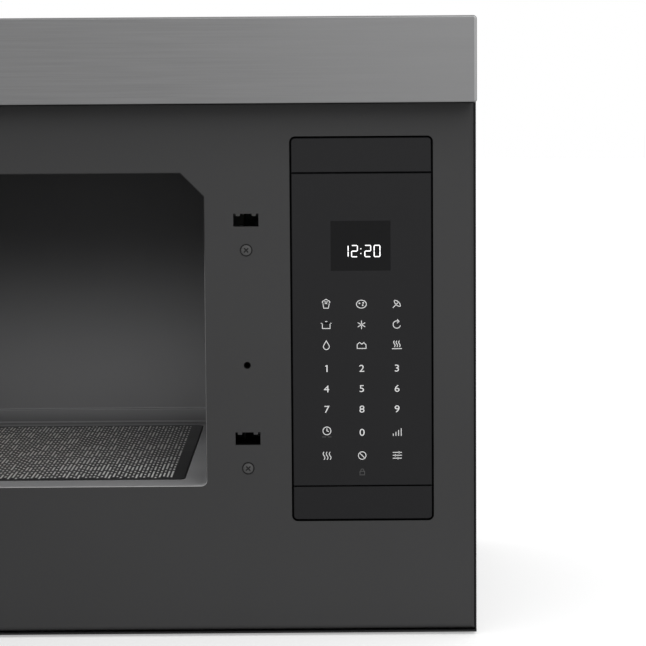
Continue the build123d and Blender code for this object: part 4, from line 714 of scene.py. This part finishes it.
class PanelSettings(bpy.types.PropertyGroup):
    """Sizes of the marks on the control panel."""

    digit_height: millimetres("Digit height", 6.0, "Height of the printed digits")
    mark_stroke: millimetres("Mark stroke", 0.62, "Width of the lines of the key marks")
    mark_thick: millimetres("Ink thickness", 0.05, "How far the print stands on the glass")
    mark_scale: FloatProperty(name="Mark scale", default=1.2, description="Size of the key marks")
    key_pitch: millimetres("Key pitch", 28.8, "Distance between the columns of keys")
    clock_height: millimetres("Clock height", 9.2, "Height of its digits between line middles")
    clock_width: millimetres("Clock width", 4.75, "Width of its digits between line middles")
    clock_pitch: millimetres("Clock pitch", 7.55, "Distance between the clock's digits")
    clock_stroke: millimetres("Clock stroke", 0.75, "Width of a lit segment")


class PlateSettings(bpy.types.PropertyGroup):
    """Sizes of the pattern on the oven's floor plate."""

    column_pitch: millimetres("Column pitch", 3.25, "Distance between columns of marks")
    cell_length: millimetres("Cell length", 11.5, "Distance between marks in a column")
    mark_width: millimetres("Mark width", 1.55, "Width of a mark")
    dot_share: FloatProperty(name="Dot length", default=0.5, subtype="FACTOR",
                             description="A dot's length as a share of its cell")
    side_margin: millimetres("Side margin", 9.0, "Bare border at the plate's sides")
    end_margin: millimetres("End margin", 4.5, "Bare border at the plate's front and back")
    seed: IntProperty(name="Seed", default=7, description="Seed of the pattern")


class SmallPartSettings(bpy.types.PropertyGroup):
    """Sizes of screws and filter meshes."""

    screw_radius: millimetres("Screw radius", 3.6, "Radius of a case screw's head")
    screw_height: millimetres("Screw height", 1.3, "Height of a case screw's head")
    mesh_pitch: millimetres("Mesh pitch", 5.0, "Width of a diamond of the filter mesh")
    mesh_strand: millimetres("Mesh strand", 0.45, "Radius of a strand of the filter mesh")


class ColourSettings(bpy.types.PropertyGroup):
    """Colours of the faces that the photograph shows, as linear values."""

    front_paint: tint("Front paint", (0.0315, 0.0315, 0.0322), "Satin front sheet")
    # Colour of the painted highlight on the rolled lip round the oven
    worn_lip: tint("Lip highlight", grey(0.42), "Rolled lip round the oven")
    strip_steel: tint("Trim strip", (0.179, 0.1795, 0.181), "Brushed strip")
    oven_steel: tint("Oven steel", (0.30, 0.30, 0.305), "Brushed liner")
    panel: tint("Control panel", (0.011, 0.011, 0.012), "Panel glass and caps")
    display: tint("Display", (0.001, 0.001, 0.0015), "Display window")
    floor_plate: tint("Floor plate", (0.016, 0.016, 0.017), "Ceramic plate")
    legend: tint("Print", grey(0.8), "Digits and key marks")
    dim_legend: tint("Dim print", grey(0.07), "Secondary key marks")
    plate_mark: tint("Plate marks", (0.9, 0.9, 0.88), "Pattern on the floor plate")


class StudioSettings(bpy.types.PropertyGroup):
    """The camera and the light."""

    eye: FloatVectorProperty(name="Eye", default=(0.2533, -2.078, 0.3127), unit="LENGTH",
                             description="The camera's place")
    pitch: FloatProperty(name="Pitch", default=radians(-4.47), subtype="ANGLE",
                         description="The camera's tilt, up from level")
    yaw: FloatProperty(name="Yaw", default=radians(-0.092), subtype="ANGLE",
                       description="The camera's turn, to the left of straight ahead")
    roll: FloatProperty(name="Roll", default=radians(-0.397), subtype="ANGLE",
                        description="The camera's turn about its view")
    lens: FloatProperty(name="Lens", default=116.78, description="Focal length in millimetres")
    shift_x: FloatProperty(name="Shift X", default=-0.0024, description="Sideways lens shift")
    shift_y: FloatProperty(name="Shift Y", default=-0.1, description="Upright lens shift")
    sky: FloatProperty(name="Sky", default=0.8, description="Strength of the even light")
    key: FloatProperty(name="Key light", default=52.0, unit="POWER",
                       description="Power of the large soft lamp")


SETTINGS = {"oven_panel": PanelSettings, "oven_plate": PlateSettings,
            "oven_small": SmallPartSettings, "oven_colours": ColourSettings,
            "oven_studio": StudioSettings}


# ---------------------------------------------------------------- operators
class OVEN_OT_finishes(bpy.types.Operator):
    """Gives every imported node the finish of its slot."""

    bl_idname = "oven.finishes"
    bl_label = "Finishes"

    def execute(self, context):
        colours = context.scene.oven_colours
        finishes = slot_finishes(colours)
        # Some nodes take a finish of their own. The panel housing and the latch board, seen only in
        # gaps and slots, take a near-black, barely reflecting finish that is painted shade.
        painted_shade_black = moulding("housing_shade_black", grey(0.0015), 0.8, specular=0.05)
        finishes["panel_housing"] = finishes["latch_board"] = painted_shade_black
        finishes["door_screen"] = perforated_sheet("screen_perforated", grey(0.012))
        finishes["trim_strip"] = trim_steel("strip_brushed", colours.strip_steel,
                                            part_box("trim_strip"))
        for node, piece in frame["nodes"].items():
            piece.data.materials.clear()
            piece.data.materials.append(finishes[node if node in finishes else SLOT_OF[node]])
        return {"FINISHED"}


# Heights of the key rows above the glass's lower edge, from the top row down
MARK_ROWS = (149.5 * MM, 132.6 * MM, 115.8 * MM)
DIGIT_ROWS = (96.8 * MM, 80.1 * MM, 63.2 * MM, 44.0 * MM)
LAST_ROW = 24.8 * MM
HINT_ROW = 11.4 * MM
# The middle column stands this far left of the glass's middle
KEY_SHIFT = 0.4 * MM


def panel_place(x, z):
    """A place on the touch glass: local X to the right, Y up and Z out of the glass."""
    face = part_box("touch_glass")[0].y
    return Matrix.Translation((x, face, z)) @ Matrix.Rotation(radians(90), 4, "X")


def key_place(panel, column, height):
    """The place of a key in a column, -1 to 1, at a height above the glass's lower edge."""
    x = middle("touch_glass").x - KEY_SHIFT + column * panel.key_pitch
    return panel_place(x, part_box("touch_glass")[0].z + height)


class OVEN_OT_key_digits(bpy.types.Operator):
    """Prints the ten digits on the touch glass."""

    bl_idname = "oven.key_digits"
    bl_label = "Key digits"

    # Height of the built-in font's digits at size 1, and how much wider they're printed
    FONT_HEIGHT, STRETCH = 0.73, 1.15
    # The font's 1 is a bare stem: it moves to the right and gets a flag, in millimetres
    STEM_SHIFT, FLAG, FLAG_WIDTH = 0.4, ((-1.35, 1.8), (0.1, 2.7)), 0.7

    def execute(self, context):
        panel = context.scene.oven_panel
        shape = bmesh.new()
        for number in range(10):
            row, column = divmod(number - 1, 3) if number else (3, 1)
            curve = bpy.data.curves.new("digit", "FONT")
            curve.body = str(number)
            curve.align_x = curve.align_y = "CENTER"
            curve.size = panel.digit_height / self.FONT_HEIGHT
            curve.resolution_u = 4
            curve.extrude = panel.mark_thick
            letter = bpy.data.objects.new("digit", curve)
            mesh = bpy.data.meshes.new_from_object(letter)
            bpy.data.objects.remove(letter)
            heights = [v.co.y for v in mesh.vertices]
            settle = Matrix.Translation((0, -(min(heights) + max(heights)) / 2, 0))
            place = key_place(panel, column - 1, DIGIT_ROWS[row])
            if number == 1:
                place = place @ Matrix.Translation((self.STEM_SHIFT * MM, 0, 0))
                stroke(shape, [(x * MM, y * MM) for x, y in self.FLAG], self.FLAG_WIDTH * MM,
                       place, 0.8 * panel.mark_thick)
            mesh.transform(place @ Matrix.Diagonal((self.STRETCH, 1, 1, 1)) @ settle)
            shape.from_mesh(mesh)
        ink = printing("key_print", context.scene.oven_colours.legend)
        add_piece("key_digits", as_mesh("key_digits", shape), ink, "cabinet")
        return {"FINISHED"}


def line(*points):
    """An open stroke."""
    return points, False


def loop(*points):
    """A closed stroke."""
    return points, True


def key_marks():
    """The generic marks of the function keys and the dim ones, as strokes in millimetres.

    Each is a list of rows, a row's height with the marks from the left column on.
    """
    cup = [loop((-2.2, 0.6), (-1.5, -2.6), (1.5, -2.6), (2.2, 0.6))]
    cup += [loop(*arc(x, y, 1.05, steps=12)) for x, y in ((-1.5, 1.5), (0, 2.4), (1.5, 1.5))]
    tuber = [loop(*((1.25 * x, y) for x, y in arc(0, 0, 2.7)))]
    tuber += [loop(*arc(x, y, 0.3, steps=6)) for x, y in ((-1.3, 0.6), (0.9, -0.7), (1.2, 0.9))]
    leaf = [line(*arc(-1.7, -1.7, 4.2, 0, 90)), line(*arc(2.5, 2.5, 4.2, 180, 90)),
            line((-2.6, -2.6), (1.2, 1.2))]
    pot = [loop((-2.6, 1.2), (-2.6, -2.4), (2.6, -2.4), (2.6, 1.2)),
           line((-3.6, 1.2), (3.6, 1.2)), line((-0.8, 2.4), (0.8, 2.4))]
    flake = [line((2.9 * cos(a), 2.9 * sin(a)), (-2.9 * cos(a), -2.9 * sin(a)))
             for a in (pi / 2, pi / 6, -pi / 6)]
    again = [line(*arc(0, 0, 2.5, 60, 285)), line((0.3, 3.6), (1.5, 2.2), (0.2, 0.9))]
    drop = [loop(*arc(0, -0.8, 2.0, 150, 240), (0, 3.2))]
    slab = [loop((-3, -2.2), (3, -2.2), (3, 0.2), (1.6, 1.8), (0.2, 0.7), (-1.4, 1.9),
                 (-3, 0.6))]
    warm = [line((-3.4, -2.5), (3.4, -2.5))]
    warm += [line(*wave(x, -1.4, 2.9, 0.5)) for x in (-1.7, 0, 1.7)]
    clock = [loop(*arc(0, 0, 2.7)), line((0, 1.7), (0, 0), (1.3, -0.5))]
    power = [line((x, -2.6), (x, top))
             for x, top in ((-2.7, -1.0), (-0.9, 0.2), (0.9, 1.4), (2.7, 2.6))]
    steam = [line(*wave(x, -2.7, 2.7, 0.6)) for x in (-2.1, 0, 2.1)]
    cancel = [loop(*arc(0, 0, 2.6)), line((-1.8, 1.8), (1.8, -1.8))]
    sliders = [part for y, knob in ((2, 1.2), (0, -1.3), (-2, 0.4))
               for part in (line((-3.1, y), (3.1, y)), line((knob, y - 0.8), (knob, y + 0.8)))]
    lock = [loop((-1.6, -2.2), (1.6, -2.2), (1.6, 0.2), (-1.6, 0.2)),
            line((-1.0, 0.4), *arc(0, 0.9, 1.0, 180, -180, 8), (1.0, 0.4))]
    under = [line((-3.2, 0), (-0.6, 0)), line((0.6, 0), (3.2, 0))]
    zero_row = DIGIT_ROWS[3]
    return (
        [(MARK_ROWS[0], (cup, tuber, leaf)), (MARK_ROWS[1], (pot, flake, again)),
         (MARK_ROWS[2], (drop, slab, warm)), (zero_row + 1.4 * MM, (clock,)),
         (zero_row, ([], [], power)), (LAST_ROW, (steam, cancel, sliders))],
        [(zero_row - 3.6 * MM, (under,)), (HINT_ROW, ([], lock))])


class OVEN_OT_key_marks(bpy.types.Operator):
    """Prints generic marks where the function keys are."""

    bl_idname = "oven.key_marks"
    bl_label = "Key marks"

    def execute(self, context):
        panel = context.scene.oven_panel
        colours = context.scene.oven_colours
        size = panel.mark_scale * MM
        for name, colour, rows in zip(("key_marks", "key_hints"),
                                      (colours.legend, colours.dim_legend), key_marks()):
            shape = bmesh.new()
            for height, marks in rows:
                for column, strokes in zip((-1, 0, 1), marks):
                    place = key_place(panel, column, height)
                    for points, closed in strokes:
                        stroke(shape, [(x * size, y * size) for x, y in points],
                               panel.mark_stroke, place, panel.mark_thick, closed)
            add_piece(name, as_mesh(name, shape), printing(name + "_print", colour), "cabinet")
        return {"FINISHED"}


class OVEN_OT_clock(bpy.types.Operator):
    """Lights the clock's seven-segment digits in the display."""

    bl_idname = "oven.clock"
    bl_label = "Clock"

    # The ends of each segment, in widths and half heights, and the segments of each digit
    ENDS = {"a": ((0, 2), (1, 2)), "b": ((1, 2), (1, 1)), "c": ((1, 1), (1, 0)),
            "d": ((0, 0), (1, 0)), "e": ((0, 0), (0, 1)), "f": ((0, 1), (0, 2)),
            "g": ((0, 1), (1, 1))}
    LIT = {"0": "abcdef", "1": "bc", "2": "abged"}
    # From the display's lower and right edges to the digits, and from the minutes to the colon
    UNDER, BESIDE, COLON = 11.45 * MM, 8.65 * MM, 3.25 * MM

    def execute(self, context):
        panel = context.scene.oven_panel
        low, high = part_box("display_module")
        wide, thick = panel.clock_stroke, panel.mark_thick
        base = low.z + self.UNDER
        units = high.x - self.BESIDE - panel.clock_width
        tens = units - panel.clock_pitch
        hours = tens - panel.clock_pitch - self.COLON
        shape = bmesh.new()
        for digit, left in zip("0221", (units, tens, hours, hours - panel.clock_pitch)):
            for name in self.LIT[digit]:
                start, end = (Vector((x * panel.clock_width, y * panel.clock_height / 2))
                              for x, y in self.ENDS[name])
                run = (end - start).normalized()
                side = Vector((-run.y, run.x)) * wide / 2
                gap = run * wide * 0.22
                nose = run * wide / 2
                outline = [start + gap, start + nose + side, end - nose + side, end - gap,
                           end - nose - side, start + nose - side]
                prism(shape, outline[::-1], panel_place(left, base), thick)
        for height in (0.28, 0.7):
            dot = arc(tens - self.COLON, base + height * panel.clock_height, 0.6 * wide, steps=12)
            prism(shape, dot, panel_place(0, 0), thick)
        lit = printing("clock_light", grey(1.0), 0.85)
        add_piece("clock_digits", as_mesh("clock_digits", shape), lit, "cabinet")
        return {"FINISHED"}


class OVEN_OT_plate_marks(bpy.types.Operator):
    """Fires a pattern of dashes and dots onto the floor plate."""

    bl_idname = "oven.plate_marks"
    bl_label = "Plate marks"

    # Marks go in blocks of three cells: three dots, a dash of two cells and a dot, a dot and
    # the dash, or a dash of three. These are the limits of the kinds on a scale of 0 to 1.
    EARLY_FROM, LATE_FROM, WHOLE_FROM = 0.42, 0.62, 0.82
    # How far columns are shifted, as a share of a cell, and how thick a mark is
    SHIFT, THICK = 0.7, 0.06 * MM

    def execute(self, context):
        plate = context.scene.oven_plate
        low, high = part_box("floor_plate")
        width = high.x - low.x - 2 * plate.side_margin
        length = high.y - low.y - 2 * plate.end_margin
        rows = int(length / plate.cell_length)
        ink = printing("plate_print", context.scene.oven_colours.plate_mark)
        g = Growth("Plate marks", Columns=int(width / plate.column_pitch), Rows=rows - rows % 3,
                   Column_pitch=plate.column_pitch, Cell=plate.cell_length,
                   Width=plate.mark_width, Dot=plate.dot_share, Seed=plate.seed,
                   Centre=(low.x + high.x, low.y + high.y, 0.0), Lift=high.z, Material=ink)
        cell, in_column = g["Cell"], g["Rows"]
        grid = g.value("GeometryNodeMeshGrid", {
            "Size X": g["Column_pitch"] * (g["Columns"] - 1), "Size Y": cell * (in_column - 1),
            "Vertices X": g["Columns"], "Vertices Y": in_column})
        # A thousandth keeps a whole number whole when it's rounded down
        index = g.value("GeometryNodeInputIndex")
        column = (index / in_column + 0.001).floor()
        row = index - column * in_column
        block = (row / 3 + 0.001).floor()
        third = row - block * 3
        kind = g.random(column * 100 + block)
        shift = g.random(column)
        is_first, is_last = third < 0.5, third > 1.5
        is_middle = (1 - is_first) * (1 - is_last)
        early = (kind > self.EARLY_FROM) * (kind < self.LATE_FROM)
        late = (kind > self.LATE_FROM) * (kind < self.WHOLE_FROM)
        whole = kind > self.WHOLE_FROM
        two = early * is_first + late * is_middle
        three = whole * is_middle
        gone = early * is_middle + late * is_last + whole * (1 - is_middle)
        moved = g.value("GeometryNodeSetPosition", {
            "Geometry": grid,
            "Offset": g.vector(
                0.0, (two * 0.5 + shift * self.SHIFT - self.SHIFT / 2) * cell, 0.0)})
        mark = g.value("GeometryNodeMeshCube", {"Size": g.vector(g["Width"], cell, self.THICK)})
        marks = g.value("GeometryNodeInstanceOnPoints", {
            "Points": moved, "Selection": gone < 0.5, "Instance": mark,
            "Scale": g.vector(1.0, g["Dot"] + two + three * 2, 1.0)})
        centre = g.vector_maths("SCALE", {0: g["Centre"], "Scale": 0.5})
        over = g.vector_maths("ADD", {0: centre, 1: g.vector(0.0, 0.0, g["Lift"])})
        placed = g.value("GeometryNodeTransform", {"Geometry": marks, "Translation": over})
        add_piece("plate_marks", g.grow("plate_marks", placed), ink, "cabinet")
        return {"FINISHED"}


def cross_screw(name, radius, height, shank, length):
    """A screw along -Z with its head's seat at zero and a cross recess in its top."""
    # The domed head's outline as shares of its radius and height
    dome = ((0.0, 1.0), (0.45, 0.97), (0.8, 0.8425), (0.96, 0.65), (1.0, 0.35), (1.0, 0.0))
    profile = [(r * radius, z * height) for r, z in dome]
    profile += [(shank, 0.0), (shank, -length), (0.0, -length)]
    shape = bmesh.new()
    path = [shape.verts.new((r, 0, z)) for r, z in profile]
    edges = [shape.edges.new(pair) for pair in zip(path, path[1:])]
    bmesh.ops.spin(shape, geom=path + edges, cent=(0, 0, 0), axis=(0, 0, 1), angle=tau, steps=32)
    body = add_object(name, as_mesh(name, shape))
    cut = bmesh.new()
    # The cross stands askew, as on the photographed screws
    reach, wide, deep = 0.58 * radius, 0.13 * radius, 0.8 * height
    outline = [(-reach, -wide), (reach, -wide), (reach, wide), (-reach, wide)]
    for turn in (42, 132):
        place = Matrix.Rotation(radians(turn), 4, "Z") @ Matrix.Translation((0, 0, height - deep))
        prism(cut, outline, place, 2 * deep)
    bmesh.ops.recalc_face_normals(cut, faces=cut.faces)
    cutter_mesh = bpy.data.meshes.new(name + "_recess")
    cut.to_mesh(cutter_mesh)
    cut.free()
    cutter = add_object(name + "_recess", cutter_mesh)
    recess = body.modifiers.new("recess", "BOOLEAN")
    recess.operation = "DIFFERENCE"
    recess.solver = "EXACT"
    recess.use_self = True
    recess.object = cutter
    mesh = evaluated_mesh(body)
    for item in (body, cutter):
        bpy.data.objects.remove(item)
    return mesh


def place_screws(name, screw, points, towards, material, replaces=()):
    """Sets one screw at each point, its head towards a direction, with Geometry Nodes."""
    pattern = add_object(name + "_pattern", screw)
    turn = Vector((0, 0, 1)).rotation_difference(Vector(towards)).to_euler()
    g = Growth(name, Screw=pattern, Turn=tuple(turn), Material=material)
    shape = g.value("GeometryNodeObjectInfo", {"Object": g["Screw"]}, "Geometry",
                    transform_space="ORIGINAL")
    turned = g.value("GeometryNodeInstanceOnPoints", {
        "Points": g["Geometry"], "Instance": shape, "Rotation": g["Turn"]})
    ground = bpy.data.meshes.new(name + "_points")
    ground.from_pydata([tuple(p) for p in points], [], [])
    mesh = g.grow(name, turned, ground)
    bpy.data.objects.remove(pattern)
    add_piece(name, mesh, material, "cabinet", replaces, smooth=35)


class OVEN_OT_screws(bpy.types.Operator):
    """Sets the cross-head screws of the front and the case."""

    bl_idname = "oven.screws"
    bl_label = "Screws"

    def execute(self, context):
        small = context.scene.oven_small
        black = frame["nodes"]["latch_screws"].data.materials[0]
        zinc = bpy.data.materials["screw_zinc"]
        heads = islands("latch_screws")
        low, high = heads[0]
        head = 1.3 * MM
        screw = cross_screw("latch_screw", (high.x - low.x) / 2, head, 2 * MM, 9 * MM)
        points = [((a.x + b.x) / 2, a.y + head, (a.z + b.z) / 2) for a, b in heads]
        place_screws("latch_screw_heads", screw, points, (0, -1, 0), black,
                     ["latch_screws"])
        case = cross_screw("case_screw", small.screw_radius, small.screw_height, 1.8 * MM, 0.4 * MM)
        low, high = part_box("back_panel")
        inset = 14 * MM
        sides = (low.x + inset, high.x - inset)
        points = [(x, high.y, z) for x in (sides[0], 0.0, sides[1])
                  for z in (low.z + inset, high.z - inset)]
        points += [(x, high.y, (low.z + high.z) / 2) for x in sides]
        place_screws("back_screws", case, points, (0, 1, 0), zinc)
        low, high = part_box("base_plate")
        inset, row_inset = 9 * MM, 60 * MM
        points = [(x, y, low.z) for x in (low.x + inset, high.x - inset)
                  for y in (low.y + row_inset, (low.y + high.y) / 2, high.y - row_inset)]
        place_screws("base_screws", case, points, (0, 0, -1), zinc)
        low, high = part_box("outer_wrapper")
        sides = (low.x + 25 * MM, high.x - 25 * MM)
        points = [(x, low.y + 20 * MM, high.z) for x in sides]
        points += [(x, high.y - 9 * MM, high.z) for x in (sides[0], -150 * MM, 150 * MM, sides[1])]
        place_screws("roof_screws", case, points, (0, 0, 1), black)
        return {"FINISHED"}


class OVEN_OT_filter_mesh(bpy.types.Operator):
    """Lays the expanded aluminium mesh over the two grease filters."""

    bl_idname = "oven.filter_mesh"
    bl_label = "Filter mesh"

    # The filter's bare rim, and the mesh's height above the lowest point of the filter's pull
    RIM, LIFT = 9.5 * MM, 1.5 * MM
    # Rows of strands to a diamond's width, and a strand's swing as a share of the rows' distance
    ROWS, SWING = 1.6, 0.94

    def execute(self, context):
        small = context.scene.oven_small
        bright = bpy.data.materials["filter_aluminium"]
        for side in ("left", "right"):
            low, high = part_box("grease_filter_" + side)
            width = high.x - low.x - 2 * self.RIM
            length = high.y - low.y - 2 * self.RIM
            g = Growth("Filter mesh " + side, Points=int(width / small.mesh_pitch * 2) + 1,
                       Rows=int(length / small.mesh_pitch * self.ROWS), Width=width, Length=length,
                       Strand=small.mesh_strand, Material=bright,
                       Centre=((low.x + high.x) / 2, (low.y + high.y) / 2, low.z + self.LIFT))
            step = g["Length"] / g["Rows"]
            index = g.value("GeometryNodeInputIndex")
            flat = g.value("GeometryNodeMeshLine", {
                "Count": g["Points"],
                "Offset": g.vector(g["Width"] / (g["Points"] - 1), 0.0, 0.0)})
            bent = g.value("GeometryNodeSetPosition", {
                "Geometry": flat,
                "Offset": g.vector(0.0, (index % 2.0 - 0.5) * step * self.SWING, 0.0)})
            rail = g.value("GeometryNodeMeshToCurve", {"Mesh": bent})
            strand = g.value("GeometryNodeCurvePrimitiveCircle",
                             {"Resolution": 4, "Radius": g["Strand"]}, mode="RADIUS")
            wire = g.value("GeometryNodeCurveToMesh", {
                "Curve": rail, "Profile Curve": strand, "Fill Caps": True})
            stack = g.value("GeometryNodeMeshLine", {
                "Count": g["Rows"], "Offset": g.vector(0.0, step, 0.0)})
            mirror = 1 - 2 * (index % 2.0)
            rows = g.value("GeometryNodeInstanceOnPoints", {
                "Points": stack, "Instance": wire, "Scale": g.vector(1.0, mirror, mirror)})
            corner = g.vector_maths("SUBTRACT", {
                0: g["Centre"], 1: g.vector(g["Width"] * 0.5, (g["Length"] - step) * 0.5, 0.0)})
            placed = g.value("GeometryNodeTransform", {"Geometry": rows, "Translation": corner})
            name = "filter_mesh_" + side
            add_piece(name, g.grow(name, placed), bright, side + "_filter")
        return {"FINISHED"}


class OVEN_OT_stage(bpy.types.Operator):
    """Sets the floor, the light and the camera."""

    bl_idname = "oven.stage"
    bl_label = "Studio"

    # Half the floor's side, and the lamp's sides, place and target
    FLOOR_REACH, LAMP_SIDES = 12.0, (3.0, 2.2)
    LAMP_PLACE, LAMP_TARGET = Vector((1.2, -4.0, 2.4)), Vector((0.05, -0.25, 0.1))

    def execute(self, context):
        scene = context.scene
        studio = scene.oven_studio
        scene.view_settings.view_transform = "Standard"
        under = Matrix.Translation((0, 0, cad_box[0].z - 0.3 * MM))
        shape = bmesh.new()
        bmesh.ops.create_grid(shape, x_segments=1, y_segments=1, size=self.FLOOR_REACH,
                              matrix=under)
        floor = add_object("floor", as_mesh("floor", shape))
        floor.data.materials.append(self.floor_paint())
        self.sky(scene, studio.sky)
        lamp = bpy.data.lights.new("key", "AREA")
        lamp.shape = "RECTANGLE"
        lamp.size, lamp.size_y = self.LAMP_SIDES
        lamp.energy = studio.key
        key = add_object("key", lamp)
        key.location = self.LAMP_PLACE
        aim = self.LAMP_TARGET - self.LAMP_PLACE
        key.rotation_euler = aim.to_track_quat("-Z", "Y").to_euler()
        view = bpy.data.cameras.new("camera")
        view.sensor_width = 36.0
        view.lens = studio.lens
        view.shift_x = studio.shift_x
        view.shift_y = studio.shift_y
        scene.camera = add_object("camera", view)
        scene.camera.location = studio.eye
        level = Euler((radians(90) + studio.pitch, 0, studio.yaw)).to_matrix()
        scene.camera.rotation_euler = (level @ Matrix.Rotation(studio.roll, 3, "Z")).to_euler()
        return {"FINISHED"}

    def floor_paint(self):
        """Pale floor that shows white where no shadow falls on it."""
        f = Finish("floor_paint")
        seen = f.value("ShaderNodeLightPath")
        skin = f.value("ShaderNodeBsdfPrincipled", {
            "Base Color": (*grey(0.84), 1.0), "Roughness": 0.9, "Specular IOR Level": 0.1})
        glow = f.value("ShaderNodeEmission", {"Strength": seen * 0.4})
        both = f.value("ShaderNodeAddShader", {0: skin, 1: glow})
        f.node("ShaderNodeOutputMaterial", {"Surface": both})
        return f.material

    def sky(self, scene, strength):
        """Even white light, and a full white for the camera and in reflections."""
        scene.world = bpy.data.worlds.new("studio")
        scene.world.use_nodes = True
        scene.world.node_tree.nodes.clear()
        t = Tree(scene.world.node_tree)
        path = t.node("ShaderNodeLightPath")
        seen = Value(t, path.outputs["Is Camera Ray"])
        for kind in ("Is Glossy Ray", "Is Transmission Ray"):
            seen = seen.highest(Value(t, path.outputs[kind]))
        light = t.value("ShaderNodeBackground", {
            "Color": (1, 1, 1, 1), "Strength": seen + (1 - seen) * strength})
        t.node("ShaderNodeOutputWorld", {"Surface": light})


class OVEN_PT_looks(bpy.types.Panel):
    """Lists the pieces and their settings."""

    bl_label = "Microwave looks"
    bl_idname = "OVEN_PT_looks"
    bl_space_type = "VIEW_3D"
    bl_region_type = "UI"
    bl_category = "Oven"

    def draw(self, context):
        for group, kind in SETTINGS.items():
            box = self.layout.box()
            for name in kind.__annotations__:
                box.prop(getattr(context.scene, group), name)
        for operator in OPERATORS:
            self.layout.operator(operator.bl_idname)


OPERATORS = (OVEN_OT_finishes, OVEN_OT_key_digits, OVEN_OT_key_marks, OVEN_OT_clock,
             OVEN_OT_plate_marks, OVEN_OT_screws, OVEN_OT_filter_mesh, OVEN_OT_stage)
CLASSES = (*SETTINGS.values(), *OPERATORS, OVEN_PT_looks)


def register():
    for kind in CLASSES:
        bpy.utils.register_class(kind)
    for name, kind in SETTINGS.items():
        setattr(bpy.types.Scene, name, PointerProperty(type=kind))


def unregister():
    for name in SETTINGS:
        delattr(bpy.types.Scene, name)
    for kind in reversed(CLASSES):
        bpy.utils.unregister_class(kind)


def main():
    """Dresses the frame."""
    register()
    for operator in OPERATORS:
        group, name = operator.bl_idname.split(".")
        getattr(getattr(bpy.ops, group), name)()


if __name__ == "__main__":
    main()
